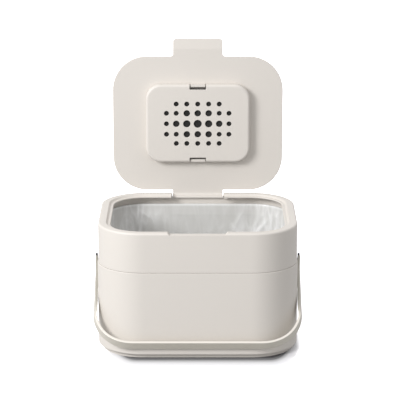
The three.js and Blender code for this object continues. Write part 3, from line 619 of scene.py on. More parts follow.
plate_half = NOTCH_HALF + PLATE_PAST
plate = box_section(
    (FRONT + MIDWALL, NOTCH_FLOOR - PLATE_DEEP), (FRONT + STEP_INSET, NOTCH_FLOOR + PLATE_PROUD),
)
combine(collar_shell, extruded("plate", plate, -plate_half, plate_half), "UNION")
for floor, start, end in (
    (NOTCH_FLOOR, FRONT - OVERRUN, FRONT + STEP_INSET + OVERRUN),
    (LEDGE_CUT_FLOOR, FRONT + LEDGE_CUT_FROM, FRONT + LEDGE_INSET + OVERRUN),
):
    cut = extruded("notch", opened_mouth(floor), start, end, axes=(0, 2, 1))
    combine(collar_shell, cut, "DIFFERENCE")
opening = box_section((BACK - LEDGE_INSET - OVERRUN, GAP_FLOOR), (BACK + OVERRUN, RIM + OVERRUN))
combine(collar_shell, extruded("gap", opening, -GAP_HALF, GAP_HALF), "DIFFERENCE")
EAR_TOP, EAR_BACK = RIM - MIDWALL, BACK - MIDWALL
ear = box_section((HINGE_Y - PIN_BORE - EAR_WALL, GAP_FLOOR), (EAR_BACK, EAR_TOP))
web = box_section((WEB_FRONT, GAP_FLOOR - WEB_OVERLAP), (EAR_BACK, EAR_TOP))
for section, low, high in (
    (ear, GAP_HALF, GAP_HALF + EAR_WIDE), (web, KNUCKLE_HALF + WEB_GAP, GAP_HALF + WEB_OVERLAP),
):
    combine(collar_shell, extruded("left block", section, -high, -low), "UNION")
    combine(collar_shell, extruded("right block", section, low, high), "UNION")
pin_bore = bend((HINGE_Y, HINGE_Z), PIN_BORE, 0, 360, 24)[0][:-1]
combine(collar_shell, extruded("bore", pin_bore, -BORE_HALF, BORE_HALF), "DIFFERENCE")
shifted(collar_shell, y=MIDDLE_Y)
finish_piece(collar_shell, "collar", ["collar"], stone_plastic)
weigh_normals(collar_shell)

# %% [markdown]
# ## The lid
#
# The lid and its finger tab are one plate with one edge, so the outline runs round both:
# the right half is drawn and then mirrored. The outer part of the tab turns up a little
# for the fingers: the plate is sliced where it bends, and the points beyond are lifted.
# A separate tab would be easier to bend, but would leave a joint that the mould has not.

# %% Lid plate with its tab
LID_X, LID_Y, LID_CORNER = HALF_WIDTH - LID_INSET, HALF_DEPTH - LID_INSET, CORNER - LID_INSET
TAB_HALF, TAB_TIP, TAB_CORNER, TAB_FILLET = 32.65, -LID_Y - 23.4, 4.5, 3.5
LID_TOP_ROUND, LID_UNDER_ROUND = 1.2, 0.8
x_bend, y_bend = LID_X - LID_CORNER, LID_Y - LID_CORNER
x_tab, tab_in = TAB_HALF - TAB_CORNER, TAB_HALF + TAB_FILLET
tab_round, tab_root = TAB_TIP + TAB_CORNER, -LID_Y - TAB_FILLET
right_half = (
    bend((x_tab, tab_round), TAB_CORNER, 270, 360, 10),
    line((TAB_HALF, tab_round), (TAB_HALF, tab_root), (1, 0), 5),
    bend((tab_in, tab_root), TAB_FILLET, 180, 90, 8, hollow=True),
    line((tab_in, -LID_Y), (x_bend, -LID_Y), (0, -1), 5),
    bend((x_bend, -y_bend), LID_CORNER, 270, 360, 20),
    line((LID_X, -y_bend), (LID_X, y_bend), (1, 0), 10),
    bend((x_bend, y_bend), LID_CORNER, 0, 90, 20),
)
left_half = [[side[::-1] * (-1, 1) for side in part] for part in right_half[::-1]]
lid_outline = chain(
    right_half[-1], line((x_bend, LID_Y), (-x_bend, LID_Y), (0, 1), 10), *left_half,
    line((-x_tab, TAB_TIP), (x_tab, TAB_TIP), (0, -1), 8), *right_half[:-1],
)
lid_steps = profile(
    (LID_UNDER_ROUND + 0.6, LID_UNDER),
    arc(LID_UNDER_ROUND, LID_UNDER + LID_UNDER_ROUND, LID_UNDER_ROUND, 270, 180, 4),
    arc(LID_TOP_ROUND, LID_TOP - LID_TOP_ROUND, LID_TOP_ROUND, 180, 90, 6), (1.9, LID_TOP),
)
lid_panel = carried("lid_panel", lid_outline, lid_steps)

TAB_BEND, BEND_HALF = TAB_TIP + 13.6, 0.9
LIFT_RUN, UNDER_LIFT, TOP_LIFT = 15.6, 2.3, 1.5
edit = bmesh.new()
edit.from_mesh(lid_panel.data)
for y in (TAB_BEND + BEND_HALF, TAB_BEND, TAB_BEND - BEND_HALF):
    everything = edit.verts[:] + edit.edges[:] + edit.faces[:]
    bmesh.ops.bisect_plane(edit, geom=everything, plane_co=(0, y * MM, 0), plane_no=(0, 1, 0))
edit.to_mesh(lid_panel.data)
edit.free()
points = points_of(lid_panel.data) / MM
beyond = TAB_BEND - points[:, 1]
lift = np.where(np.abs(beyond) < 1, (beyond + 1) ** 2 / 4, np.maximum(beyond, 0)) / LIFT_RUN
upper = (points[:, 2] - LID_UNDER) / (LID_TOP - LID_UNDER)
points[:, 2] += lift * (UNDER_LIFT * (1 - upper) + TOP_LIFT * upper)
lid_panel.data.vertices.foreach_set("co", (points * MM).ravel())
print("the tab's tip is lifted by", round(float((lift * TOP_LIFT).max()), 2), "mm")

# %% [markdown]
# The knuckle, the rib that centres the filter cover and the two spring fingers are prisms
# and rings, welded to the plate so that the lid is one moulding. A barb near each
# finger's end holds the cover. Small vents lie over the cover's air holes.

# %% Knuckle, rib, fingers and vents
KNUCKLE_FILLET, KNUCKLE_ROUND = 3.0, 1.6
FINGER_HALF, FINGER_IN, FINGER_OUT, FINGER_ROUND = 9.6, 49.2, 52.0, 0.5
FINGER_END, BARB = COVER_FACE + 2.5, 0.8
RIB_OUT, RIB_IN, RIB_END, BURIED = 2.15, 3.65, 156.8, 162.3
inner = LID_Y - KNUCKLE_FILLET
knuckle = profile(
    (inner, LID_UNDER),
    arc(HINGE_Y - BARREL - KNUCKLE_FILLET, LID_UNDER - KNUCKLE_FILLET, KNUCKLE_FILLET, 90, 0, 8),
    arc(HINGE_Y, HINGE_Z, BARREL, 180, 360, 16),
    arc(HINGE_Y + BARREL - KNUCKLE_ROUND, LID_TOP - KNUCKLE_ROUND, KNUCKLE_ROUND, 0, 90, 8),
    (inner, LID_TOP),
)
combine(lid_panel, extruded("knuckle", knuckle, -KNUCKLE_HALF, KNUCKLE_HALF), "UNION")
combine(lid_panel, extruded("bore", pin_bore, -BORE_HALF, BORE_HALF), "DIFFERENCE")

COVER = rounded_rectangle(COVER_X, COVER_Y, COVER_CORNER, 14, 8)
rib_steps = profile((RIB_IN, RIB_END), (RIB_OUT, RIB_END), (RIB_OUT, BURIED), (RIB_IN, BURIED))
rib = carried("rib", COVER, rib_steps, closed=True)
shifted(rib, y=-COVER_SHIFT)
combine(lid_panel, rib, "UNION")

finger = profile(
    (FINGER_OUT, BURIED), (FINGER_IN, BURIED), (FINGER_IN, FINGER_END + 4 * BARB),
    (FINGER_IN - BARB, FINGER_END + 2 * BARB), (FINGER_IN - BARB, FINGER_END + BARB),
    (FINGER_IN, FINGER_END),
    arc(FINGER_OUT - FINGER_ROUND, FINGER_END + FINGER_ROUND, FINGER_ROUND, 270, 360, 3),
)
for side in (1, -1):
    tool = extruded("finger", finger * (side, 1) - (COVER_SHIFT, 0), -FINGER_HALF, FINGER_HALF)
    combine(lid_panel, tool, "UNION")

HOLE_COLUMNS, HOLE_ROWS = [0, 14.4, 28.3, 41.2], [0, 14.1, 26.5]
HOLE_RADII = [[5.3, 4.8, 4.3, 3.25], [4.25, 4.25, 3.25, 3.25], [3.25, 3.25, 3.25]]
holes = np.array(sorted({
    (across * x, up * y, radius)
    for row, y in zip(HOLE_RADII, HOLE_ROWS)
    for radius, x in zip(row, HOLE_COLUMNS)
    for across in (-1, 1)
    for up in (-1, 1)
}))
VENT_RADIUS, LIP = 2.4, 0.4
vent_steps = profile(
    (LIP, LID_UNDER - OVERRUN), arc(LIP, LID_UNDER + LIP, LIP, 270, 180, 3),
    arc(LIP, LID_TOP - LIP, LIP, 180, 90, 3), (LIP, LID_TOP + OVERRUN),
)
vent_radii = np.full(len(holes), VENT_RADIUS)
vents = drilled("vents", holes[:, :2] - (0, COVER_SHIFT), vent_radii, vent_steps, 20)
combine(lid_panel, vents, "DIFFERENCE")
turned_about(lid_panel, HINGE_Y, HINGE_Z, -OPEN_DEGREES)
finish_piece(lid_panel, "lid", ["lid"], stone_plastic)
weigh_normals(lid_panel)

# %% [markdown]
# ## The filter cover
#
# A shallow tray clips over the carbon pad. Its face is pierced by rows of round holes,
# largest in the middle. Each hole is drilled with a flared cutter, so that its rim is
# rounded and catches the light, and a notch at either long edge lets a finger through.
# Painted dots would be cheaper, but wouldn't show the foam behind them from the side.

# %% Filter cover
EDGE, COVER_WALL, TRAY_FILLET, CHAMFER = 3.4, 1.8, 1.6, 0.2
COVER_INSIDE = COVER_FACE + COVER_WALL
NOTCH_X, NOTCH_Y, NOTCH_DEEP, NOTCH_CORNER = 10.8, 45.7, 6.0, 0.8
cover_steps = profile(
    (EDGE + 1.6, COVER_FACE), arc(EDGE, COVER_FACE + EDGE, EDGE, 270, 180, 10),
    (0, COVER_TOP - 2), (0, COVER_TOP - CHAMFER), (CHAMFER, COVER_TOP),
    (COVER_WALL - CHAMFER, COVER_TOP), (COVER_WALL, COVER_TOP - CHAMFER),
    (COVER_WALL, COVER_TOP - 3),
    arc(COVER_WALL + TRAY_FILLET, COVER_INSIDE + TRAY_FILLET, TRAY_FILLET, 180, 270, 5),
    (EDGE + 1.6, COVER_INSIDE),
)
filter_cover_tray = carried("filter_cover_tray", COVER, cover_steps)
lip_steps = profile(
    (LIP, COVER_FACE - OVERRUN), arc(LIP, COVER_FACE + LIP, LIP, 270, 180, 4),
    (0, COVER_INSIDE + OVERRUN),
)
air_holes = drilled("holes", holes[:, :2], holes[:, 2], lip_steps, 36)
combine(filter_cover_tray, air_holes, "DIFFERENCE")
notch_steps = profile(
    (-LIP, COVER_FACE - OVERRUN), arc(-LIP, COVER_FACE + LIP, LIP, 270, 360, 4),
    (0, COVER_TOP + OVERRUN),
)
for side in (1, -1):
    notch_outline = rounded_rectangle(NOTCH_X, NOTCH_DEEP, NOTCH_CORNER, 5, 4)
    tool = carried("notch", notch_outline, notch_steps)
    shifted(tool, y=side * (NOTCH_Y + NOTCH_DEEP))
    combine(filter_cover_tray, tool, "DIFFERENCE")
shifted(filter_cover_tray, y=-COVER_SHIFT)
turned_about(filter_cover_tray, HINGE_Y, HINGE_Z, -OPEN_DEGREES)
finish_piece(filter_cover_tray, "filter", ["filter_cover"], stone_plastic)
weigh_normals(filter_cover_tray)
print(len(holes), "air holes")

# %% [markdown]
# ## The carbon pad
#
# Behind the holes lies a soft pad of black foam. It is one closed skin: rings that shrink
# towards the middle on either face, joined by a rounded edge, crowned a little and
# roughened with a sum of slanting waves, because cut foam is never flat. It is too light
# and stiff to sag, so there is nothing here for a simulation to settle.

# %% Carbon pad
PAD_X, PAD_Y, PAD_CORNER = 61.35, 44.5, 14.0
PAD_LOW, PAD_HIGH, PAD_ROUND = 151.6, 160.5, 1.6
PAD_CROWN, PAD_ROUGH, PAD_RELIEF = 0.25, 0.35, 0.2


def waves(x, y, count, shortest, longest, seed):
    """Mean of count sine waves with random direction, phase and wavelength, from -1 to 1:
    sin(2 pi (x cos d + y sin d) / wavelength + phase)."""
    random = np.random.default_rng(seed)
    direction, phase = random.uniform(0, 2 * math.pi, (2, count))
    length = random.uniform(shortest, longest, count)
    along = x[..., None] * np.cos(direction) + y[..., None] * np.sin(direction)
    return np.sin(2 * math.pi * along / length + phase).mean(axis=-1)


pad_outline, pad_normals = rounded_rectangle(PAD_X, PAD_Y, PAD_CORNER, 16, 30)
shrink = np.linspace(0.02, 0.97, 44)[:, None, None]
edge_inset, edge_height = arc(PAD_ROUND, PAD_LOW + PAD_ROUND, PAD_ROUND, 270, 180, 5).T
inset = np.concatenate([edge_inset, edge_inset[::-1]])
height = np.concatenate([edge_height, PAD_LOW + PAD_HIGH - edge_height[::-1]])
edge_plan = pad_outline[None] - inset[:, None, None] * pad_normals[None]
plan = np.concatenate([shrink * edge_plan[0], edge_plan, shrink[::-1] * edge_plan[-1]])
face = np.ones(len(shrink))
level = np.concatenate([face * PAD_LOW, height, face * PAD_HIGH])
level = np.broadcast_to(level[:, None], plan.shape[:2])
x_share, y_share = (np.minimum(np.abs(plan / (PAD_X, PAD_Y)), 1) ** 4).transpose(2, 0, 1)
crown = PAD_CROWN * np.clip(1 - x_share - y_share, 0, 1)
relief = crown + PAD_ROUGH * waves(plan[..., 0], plan[..., 1], 24, 2.2, 7.0, seed=7) - 0.1
relief = np.clip(relief, -PAD_RELIEF, PAD_RELIEF) - PAD_RELIEF
outward = np.where(level > (PAD_LOW + PAD_HIGH) / 2, -1.0, 1.0)
pad_points = np.concatenate([plan, (level - outward * relief)[..., None]], axis=2)
carbon_pad = new_object("carbon_pad", pad_points, grid_faces(*plan.shape[:2]))
shifted(carbon_pad, y=-COVER_SHIFT)
turned_about(carbon_pad, HINGE_Y, HINGE_Z, -OPEN_DEGREES)
finish_piece(carbon_pad, "filter", ["filter_pad"], carbon_foam, 180)

# %% [markdown]
# ## The strap
#
# A flat steel band bent to a U. Its line lies in the plane of the U: a straight leg, a
# bend, half of the bar, and the same mirrored. The section is a thin rectangle with
# softened edges, carried along that line. A band that is bent by hand twists a little, so
# the legs' front edges are toed in towards the wall, and the twist fades before the bar.
# Along the bar's edges the paint is drawn lighter, a painted highlight, and along the
# legs' edges darker, a painted shade. A bevelled curve could draw the band too, but these
# painted edges need their own points to sit on.

# %% Strap
STRAP_HALF, STRAP_THICK, STRAP_WIDE, STRAP_EDGE = 132.3, 3.1, 12.8, 0.5
STRAP_REACH, STRAP_BEND, STRAP_END = 136.05, 51.5, -2.1
RING_GAP, RING_FROM, RING_TO = 4.7, 120, 140
# Each row: how far the edge is tucked in, and between which distances from the pivots.
TOE_IN = ((2.3, -2, 26), (0.8, 46, 70), (-1.45, 79, 96))
# Where along the strap the painted highlight on the bar's edges grows, and the shares of painted
# shade, plain paint and painted highlight.
FLAT_BAR, HIGHLIGHT_FROM = (4, 38), (66, 100)
PAINTED_SHADE_SHARE, PLAIN_SHARE, PAINTED_HIGHLIGHT_SHARE = 0.1, 0.5, 1.0


def smooth_step(x, low, high):
    """3 t^2 - 2 t^3, where t runs from 0 to 1 as x runs from low to high."""
    t = np.clip((x - low) / (high - low), 0, 1)
    return t * t * (3 - 2 * t)


bend_x, bend_y = STRAP_HALF - STRAP_BEND, STRAP_REACH - STRAP_BEND
leg = line((STRAP_HALF, STRAP_END), (STRAP_HALF, bend_y), (1, 0), 14)
corner = bend((bend_x, bend_y), STRAP_BEND, 0, 90, 28)
bar = line((bend_x, STRAP_REACH), (0, STRAP_REACH), (0, 1), 10)
half_line, half_out = (
    np.concatenate([leg[part], corner[part][1:], bar[part][1:-1]]) for part in (0, 1)
)
strap_line = np.concatenate([half_line, [(0, STRAP_REACH)], half_line[::-1] * (-1, 1)])
strap_out = np.concatenate([half_out, [(0, 1)], half_out[::-1] * (-1, 1)])
reach = strap_line[:, 1]
twist = sum(amount * smooth_step(reach, low, high) for amount, low, high in TOE_IN)
twist *= smooth_step(STRAP_REACH - reach, *FLAT_BAR)

section, _ = rounded_rectangle(STRAP_THICK / 2, STRAP_WIDE / 2, STRAP_EDGE, 5, 3)
depth, across = section[:, 0] + STRAP_THICK / 2, section[:, 1]
tuck = twist[:, None] * (STRAP_WIDE / 2 - across) / STRAP_WIDE
flat = strap_line[:, None] - (depth[None] + tuck)[..., None] * strap_out[:, None]
wide = np.broadcast_to(across[None, :, None], flat.shape[:2] + (1,))
strap_points = np.concatenate([flat, wide], axis=2)
strap_band = new_object("strap_band", strap_points, grid_faces(*flat.shape[:2]))
# Each edge gets its share: painted shade on the legs, rising to a painted highlight along the bar.
on_edge = np.clip((np.abs(across) - (STRAP_WIDE / 2 - STRAP_EDGE)) / 0.3, 0, 1)
bar_highlight = (PAINTED_HIGHLIGHT_SHARE - PAINTED_SHADE_SHARE) * smooth_step(reach, *HIGHLIGHT_FROM)
edge_light_change = PAINTED_SHADE_SHARE + bar_highlight[:, None] - PLAIN_SHARE
set_share(strap_band, "edge_light", PLAIN_SHARE + on_edge[None] * edge_light_change)
ring_cut = bend((0, 0), RING_GAP, 0, 360, 40)[0][:-1]
for low, high in ((-RING_TO, -RING_FROM), (RING_FROM, RING_TO)):
    combine(strap_band, extruded("ring", ring_cut, low, high), "DIFFERENCE")
turn = Matrix.Rotation(math.pi + math.radians(STRAP_TILT), 4, "X")
strap_band.data.transform(Matrix.Translation((0, MIDDLE_Y * MM, PIVOT_Z * MM)) @ turn)
finish_piece(strap_band, "handle", ["handle_strap"], strap_paint)
weigh_normals(strap_band)

# %% [markdown]
# ## Tips, studs and the hinge wire
#
# These are small turned and moulded parts whose CAD shape is already right. Their CAD
# meshes are loose triangles, so a merged copy of each gets a narrow bevel on its edges
# and smooth shading, which is all that a part of this size can show.

# %% Small parts
MERGE_WITHIN, BEVEL_OVER = 0.00001, 40


def softened(name, node, body, material, width=0.15):
    """A merged copy of a CAD part with a narrow bevel on every sharp edge."""
    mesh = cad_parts[node].data.copy()
    edit = bmesh.new()
    edit.from_mesh(mesh)
    bmesh.ops.remove_doubles(edit, verts=edit.verts, dist=MERGE_WITHIN)
    edit.to_mesh(mesh)
    edit.free()
    piece = bpy.data.objects.new(name, mesh)
    bpy.context.scene.collection.objects.link(piece)
    finish_piece(piece, body, [node], material, 30)
    step = piece.modifiers.new("soft edges", "BEVEL")
    step.width, step.segments, step.angle_limit = width * MM, 2, math.radians(BEVEL_OVER)


for side in ("left", "right"):
    softened(f"strap_tip_{side}", f"handle_bush_{side}", "handle", dark_plastic)
    softened(f"strap_stud_{side}", f"pivot_stud_{side}", "bucket", pin_steel, 0.1)
softened("hinge_wire", "hinge_pin", "collar", pin_steel, 0.1)

# %% [markdown]
# ## The liner bag
#
# A thin frosted film hangs inside the bucket and turns over its neck, under the collar.
# A real film is never flat: it is pulled tight from the neck, and long creases run down
# and across from the corners. The sheet is a grid, once round the body by row and from
# the cuff's foot over the neck and down to the floor by column. Each crease is a narrow
# ridge along a slanting line, highest at its crest and dying away, and it pushes the
# film only inwards, into the empty bag. The crease height is kept at the points too,
# because a stretched fold of film turns whiter, and a light line along the film's crest
# over the neck is added to it there, a painted highlight. A cloth simulation would need
# the neck, the collar and many seconds to give the same short wrinkles less surely.

# %% Film paths
FILM_WALL, FILM_NECK, FILM_CUFF, FILM_TURN = 3.6, 6.55, 3.05, 1.2
CREST, CUFF_FOOT, FILM_FLOOR, FILM_FOOT = 148.05, 125.4, 6.65, 15.5
FILM_FILLET, BELOW_CREST = 8.0, 3.0
film_points, film_normals = rounded_rectangle(BODY_HALF, HALF_DEPTH, CORNER, 40, 70)
step_round = np.linalg.norm(np.roll(film_points, -1, axis=0) - film_points, axis=1)
around = np.concatenate([[0], np.cumsum(step_round)])
film_round = around[-1]

drop = np.concatenate([np.linspace(0, 0.34, 44), np.linspace(0.34, 1, 17)[1:]])
widening = np.clip(2 * drop - 0.3, 0, 1) ** 2
film_steps = profile(
    np.stack([np.full(8, FILM_CUFF), np.linspace(CUFF_FOOT, CREST - FILM_TURN, 8)], axis=1),
    arc(FILM_CUFF + FILM_TURN, CREST - FILM_TURN, FILM_TURN, 180, 90, 4)[1:],
    arc(FILM_NECK - FILM_TURN, CREST - FILM_TURN, FILM_TURN, 90, 0, 4)[1:],
    np.stack([
        FILM_NECK + (FILM_WALL - FILM_NECK) * widening,
        CREST - BELOW_CREST + (FILM_FOOT + BELOW_CREST - CREST) * drop,
    ], axis=1),
    arc(FILM_WALL + FILM_FILLET, FILM_FLOOR + FILM_FILLET, FILM_FILLET, 180, 270, 6)[1:],
)
fall = np.concatenate([[0], np.cumsum(np.linalg.norm(np.diff(film_steps, axis=0), axis=1))])
CREST_ROW = 15
u, v = np.meshgrid(around[:-1], fall - fall[CREST_ROW])
print(f"film: {film_round:.0f} mm round, {fall[-1]:.0f} mm from the cuff to the floor")

# %% Film creases
BACK_MIDDLE = CORNER * math.pi / 2 + HALF_WIDTH - CORNER
TIGHT_HALF, TIGHT_SHARE, STARTS_FREE, FREE_WITHIN = 52.0, 0.8, 1.0, 12.0
SLACK, FLOOR_TURN, FLOOR_LIFT, RIDGE_LIFT = 1.1, 14.0, 0.6, 0.5


def looseness(u):
    """1 all round, falling to 0.2 over the stretch across the middle of the back."""
    return 1 - TIGHT_SHARE * np.exp(-(((u - BACK_MIDDLE) / TIGHT_HALF) ** 4))


def creases(u, v, count, seed):
    """Sum of ridges height * exp(-|across| / width) * fade, where across is the distance
    from a slanting line that starts near the neck, and fade is smooth along its length.
    The stretch across the middle of the back is pulled flat, so its ridges are low."""
    random = np.random.default_rng(seed)
    start_u = random.uniform(0, film_round, count)
    start_v = random.uniform(-12, 40, count)
    slant = random.normal(0, 0.5, count)
    length = random.uniform(20, 100, count)
    width = random.uniform(0.9, 2.6, count)
    height = random.uniform(0.4, 1.7, count) * width / 2 * looseness(start_u)
    du = (u[..., None] - start_u + film_round / 2) % film_round - film_round / 2
    dv = v[..., None] - start_v
    run = (dv + slant * du) / np.sqrt(1 + slant**2)
    off = (du - slant * dv) / np.sqrt(1 + slant**2)
    fade = np.clip(run / length * (1 - run / length) * 4, 0, 1) ** 1.2
    return (height * np.exp(-np.abs(off) / width) * fade).sum(axis=-1)


free = np.clip((v - STARTS_FREE) / FREE_WITHIN, 0, 1)
ridge = creases(u, v, 150, seed=11)
slack = SLACK * (1 + waves(u, v * 0.6, 14, 40, 120, seed=3))
push = film_steps[:, 0, None] + (ridge + slack) * free
plan = film_points[None] - push[..., None] * film_normals[None]
at_floor = np.clip((v - v[-1] + FLOOR_TURN) / FLOOR_TURN, 0, 1)
level = film_steps[:, 1, None] + at_floor * (FLOOR_LIFT + RIDGE_LIFT * ridge)
print("highest crease:", round(float(ridge.max()), 1), "mm")

# %% [markdown]
# The film closes over the floor with rings that shrink to the middle, where it lies in
# low folds. Its own coordinates run along it: across is the way round, along is the way
# down. They are stored as a UV map in units of 100 mm, so that a crinkle drawn by the
# material keeps its size. Where the sheet closes on itself, the last column of faces
# counts on instead of jumping back to nought. On the floor the way down would bunch up
# to a star, so the map is simply the view from above.

# %% Film mesh
FLOOR_FOLD, UV_UNIT = 3.0, 100
# The crest's height and width draw a light line along the film's crest over the neck, a painted
# highlight.
CREST_HIGHLIGHT, CREST_HIGHLIGHT_WIDE, FLOOR_WHITE, WHITEST_AT = 1.4, 1.6, 0.4, 2
rings = np.linspace(1, 0.03, 16)[1:]
floor_plan = rings[:, None, None] * plan[-1]
folds = waves(floor_plan[..., 0], floor_plan[..., 1], 9, 30, 90, seed=5)
floor_ridge = np.abs(folds) ** 0.7 * FLOOR_FOLD
share = rings[:, None] ** 3
floor_level = level[-1] * share + (FILM_FLOOR + floor_ridge) * (1 - share)
film_xyz = np.concatenate([
    np.concatenate([plan, level[..., None]], axis=2),
    np.concatenate([floor_plan, floor_level[..., None]], axis=2),
])
rows, columns = film_xyz.shape[:2]
liner_film = new_object("liner_film", film_xyz, grid_faces(rows, columns, low_end=False))
# A painted highlight: a light line along the crest over the neck, added to the creases' whitening.
painted_crest_highlight = CREST_HIGHLIGHT * np.exp(-((v / CREST_HIGHLIGHT_WIDE) ** 2))
crease_white_and_crest_light = np.concatenate([ridge * free + painted_crest_highlight, floor_ridge * FLOOR_WHITE]) / WHITEST_AT
set_share(liner_film, "crease", np.clip(crease_white_and_crest_light, 0, 1))
set_share(liner_film, "loose", np.broadcast_to(looseness(around[:-1]), (rows, columns)))

# %% The film's own coordinates
film_mesh = liner_film.data
corner_point = np.zeros(len(film_mesh.loops), np.int64)
film_mesh.loops.foreach_get("vertex_index", corner_point)
starts = np.zeros(len(film_mesh.polygons), np.int64)
film_mesh.polygons.foreach_get("loop_start", starts)
starts = np.sort(starts)
face_sizes = np.diff(np.append(starts, len(corner_point)))
row, column = corner_point // columns, corner_point % columns
widest = np.repeat(np.maximum.reduceat(column, starts), face_sizes)
highest = np.repeat(np.minimum.reduceat(row, starts), face_sizes)
column = np.where((widest == columns - 1) & (column == 0), columns, column)
way_down = np.append(fall, np.zeros(len(rings)))
uv = np.stack([around[column], way_down[row]], axis=1)
on_floor = highest >= len(film_steps) - 1
uv[on_floor] = film_xyz.reshape(-1, 3)[corner_point[on_floor], :2]
uv_map = film_mesh.uv_layers.new(name="along the film")
uv_map.data.foreach_set("uv", (uv / UV_UNIT).ravel().astype(np.float32))
shifted(liner_film, y=MIDDLE_Y)
print("film mesh:", len(film_mesh.polygons), "faces")

# %% [markdown]
# ## The film's finish
#
# Thin film is frosted white. It shows two sets of crinkles: wide soft folds, which are in
# the mesh, and thin sharp ones, which are drawn by a node group. A smooth noise crosses
# its middle value along thin wandering lines, so 1 - |2 n - 1|, raised to a power, is
# bright on those lines only. Stretching the noise along the film turns the lines into
# streaks that run down from the neck, and a coarse noise breaks them into patches.

# %% Group: film crinkles
crinkles, given, leave = new_group(
    "film_crinkles",
    [("Vector", VECTOR, None), ("Crease", FLOAT, 0.0), ("Loose", FLOAT, 1.0),
     ("Sharpness", FLOAT, 6.0)],
    [("Mask", FLOAT), ("Height", FLOAT)],
)


def stretched_noise(scale, turn=0.0, detail=2.0, roughness=0.5):
    along_film = add_mapping(crinkles, given["Vector"], scale, turn)
    return add_noise(crinkles, along_film, 1.0, detail, roughness)


def add_ridges(scale, turn):
    """(1 - |2 n - 1|) ** sharpness, where n is a noise."""
    centred = add_math(crinkles, "MULTIPLY_ADD", stretched_noise(scale, turn, 1.0, 0.4), 2.0, -1.0)
    crest = add_math(crinkles, "SUBTRACT", 1.0, add_math(crinkles, "ABSOLUTE", centred))
    return add_math(crinkles, "POWER", crest, given["Sharpness"])


steep, slanted = add_ridges((5.5, 1.1, 1), 0.3), add_ridges((7, 1.5, 1), -0.3)
patch = add_math(crinkles, "SUBTRACT", stretched_noise((2.2, 1.6, 1)), 0.32)
streaks = add_math(crinkles, "MAXIMUM", steep, slanted)
for factor in (add_math(crinkles, "MULTIPLY", patch, 2.6), given["Loose"]):
    streaks = add_math(crinkles, "MULTIPLY", streaks, factor)
frost = stretched_noise((90, 90, 1), 0.0, 3.0, 0.6)
mask = add_math(crinkles, "MULTIPLY_ADD", given["Crease"], 0.8, streaks)
plug(crinkles, leave, {
    "Mask": add_math(crinkles, "MINIMUM", mask, 1.0),
    "Height": add_math(crinkles, "MULTIPLY_ADD", frost, 0.3, streaks),
})
print("group film_crinkles:", len(crinkles.nodes), "nodes")

# %% Film finish
CLEAR, WHITENED = (0.66, 0.655, 0.635), (0.95, 0.95, 0.95)
film_material, tree, shader = new_material("liner_film", (0.84, 0.84, 0.83), 0.36)
# The crease share also holds the crest's painted highlight.
lines = add_group(tree, crinkles, {
    "Vector": tree.nodes.new("ShaderNodeTexCoord").outputs["UV"],
    "Crease": read_share(tree, "crease"), "Loose": read_share(tree, "loose"),
})
tint = add_ramp(tree, lines.outputs["Mask"], ((0, CLEAR), (1, WHITENED)))
plug(tree, shader, {"Base Color": tint, "Alpha": 0.94, "Coat Weight": 0.2})
add_bump(tree, shader, lines.outputs["Height"], 0.6, 0.0009)
finish_piece(liner_film, "bucket", ["liner_bag"], film_material, 180)
gauge = liner_film.modifiers.new("film gauge", "SOLIDIFY")
gauge.thickness, gauge.offset = 0.12 * MM, 0

# %% [markdown]
# ## Floor, world and lamps
#
# The bin stands on a plain white floor that runs into a white background. Both look
# white to the camera through a Light Path switch, while the light that reaches the bin
# stays at a plain level. One large soft lamp, in front on the left and about 30 degrees
# up, is the key, and the world fills the shadows.
#
# A bin on a white sweep leaves a dark line where it meets the floor and a soft edge
# around it. The floor paints that shadow into its colour, a painted contact shadow, by its
# distance from a rounded box worked out from Object coordinates, and four layers of the
# diffuse colour lift it to the level of the white around it. It still takes the lamp's
# own shadow.

# %% World
FILL_LEVEL, KEY_WATTS, KEY_SIZE = 0.715, 43.0, 1.0
WHITE = (1, 1, 1, 1)


def seen_directly(tree):
    """1 for camera, glossy and transmission rays, 0 for the light that falls on things."""
    path = tree.nodes.new("ShaderNodeLightPath").outputs
    either = add_math(tree, "MAXIMUM", path["Is Camera Ray"], path["Is Glossy Ray"])
    return add_math(tree, "MAXIMUM", either, path["Is Transmission Ray"])


def add_shader(tree, kind, values):
    return add_node(tree, kind, values).outputs[0]


world = bpy.data.worlds.new("studio")
bpy.context.scene.world = world
world.use_nodes = True
tree = world.node_tree
tree.nodes.clear()
lighting = add_shader(tree, "Background", {"Color": WHITE, "Strength": FILL_LEVEL})
shown = add_shader(tree, "Background", {"Color": WHITE, "Strength": 1.0})
switch = add_shader(tree, "MixShader", {"Fac": seen_directly(tree), 1: lighting, 2: shown})
add_node(tree, "OutputWorld", {"Surface": switch})

# %% Floor
FLOOR_HALF, BOX_ROUND, REACH, BLUISH = 9000, 0.035, 0.06, 1.03
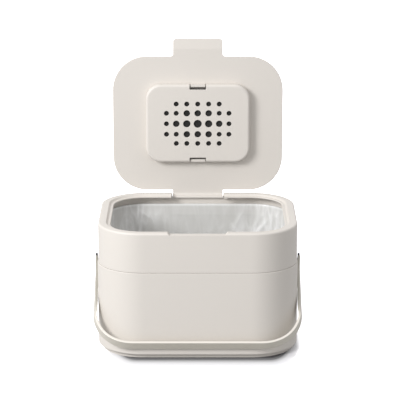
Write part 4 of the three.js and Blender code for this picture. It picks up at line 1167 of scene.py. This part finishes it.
# Each row: axis, middle and straight half of the rounded box, and how fast it fades.
BOX = (("X", 0.007, 0.083, 2.2), ("Y", 0.002, 0.054, 1.0))
# Painted shadow: the floor's grey at each distance from the box.
SHADOW_GREYS = ((0.010, 0.03), (0.0125, 0.052), (0.0165, 0.052), (0.020, 0.114), (0.029, 0.215),
         (0.036, 0.238), (0.045, 0.27), (REACH, 0.66))
corners = FLOOR_HALF * np.array([(-1, -1, 0), (1, -1, 0), (1, 1, 0), (-1, 1, 0)])
floor = new_object("floor", corners, [[0, 1, 2, 3]])
floor_material = bpy.data.materials.new("white_floor")
floor_material.use_nodes = True
tree = floor_material.node_tree
tree.nodes.clear()
place = add_node(tree, "SeparateXYZ", {0: object_coordinates(tree)})
squares = []
for axis, middle, half, steepness in BOX:
    off = add_math(tree, "ABSOLUTE", add_math(tree, "SUBTRACT", place.outputs[axis], middle))
    off = add_math(tree, "MAXIMUM", add_math(tree, "SUBTRACT", off, half), 0.0)
    off = add_math(tree, "MULTIPLY", off, steepness)
    squares.append(add_math(tree, "MULTIPLY", off, off))
distance = add_math(tree, "SQRT", add_math(tree, "ADD", *squares))
distance = add_math(tree, "SUBTRACT", distance, BOX_ROUND)
# The floor's colour darkens towards the box under the base, a painted contact shadow.
painted_contact_shadow = add_ramp(tree, add_math(tree, "DIVIDE", distance, REACH), [
    (away / REACH, (grey, grey, grey * BLUISH)) for away, grey in SHADOW_GREYS
])
bounce = add_shader(tree, "BsdfDiffuse", {"Color": (0.33, 0.33, 0.33, 1)})
in_gloss = add_shader(tree, "BsdfDiffuse", {"Color": (0.9, 0.9, 0.9, 1)})
shown = add_shader(tree, "BsdfDiffuse", {"Color": painted_contact_shadow})
for doubling in range(2):
    shown = add_shader(tree, "AddShader", {0: shown, 1: shown})
unseen = add_shader(tree, "MixShader", {"Fac": seen_directly(tree), 1: bounce, 2: in_gloss})
camera_ray = tree.nodes.new("ShaderNodeLightPath").outputs["Is Camera Ray"]
switch = add_shader(tree, "MixShader", {"Fac": camera_ray, 1: unseen, 2: shown})
add_node(tree, "OutputMaterial", {"Surface": switch})
floor.data.materials.append(floor_material)

# %% Key lamp
KEY_PLACE, KEY_TARGET = Vector((-1.58, -1.36, 1.34)), Vector((0, 0, 0.15))
lamp_data = bpy.data.lights.new("key", "AREA")
lamp_data.shape, lamp_data.size, lamp_data.energy = "DISK", KEY_SIZE, KEY_WATTS
key = bpy.data.objects.new("key", lamp_data)
key.location = KEY_PLACE
key.rotation_euler = (KEY_TARGET - KEY_PLACE).to_track_quat("-Z", "Y").to_euler()
bpy.context.scene.collection.objects.link(key)
print("key lamp:", KEY_WATTS, "watts at", round(KEY_PLACE.length, 2), "m")

# %% [markdown]
#
# The Standard view shows colours as they are written.

# %% Finish
bpy.context.scene.view_settings.view_transform = "Standard"
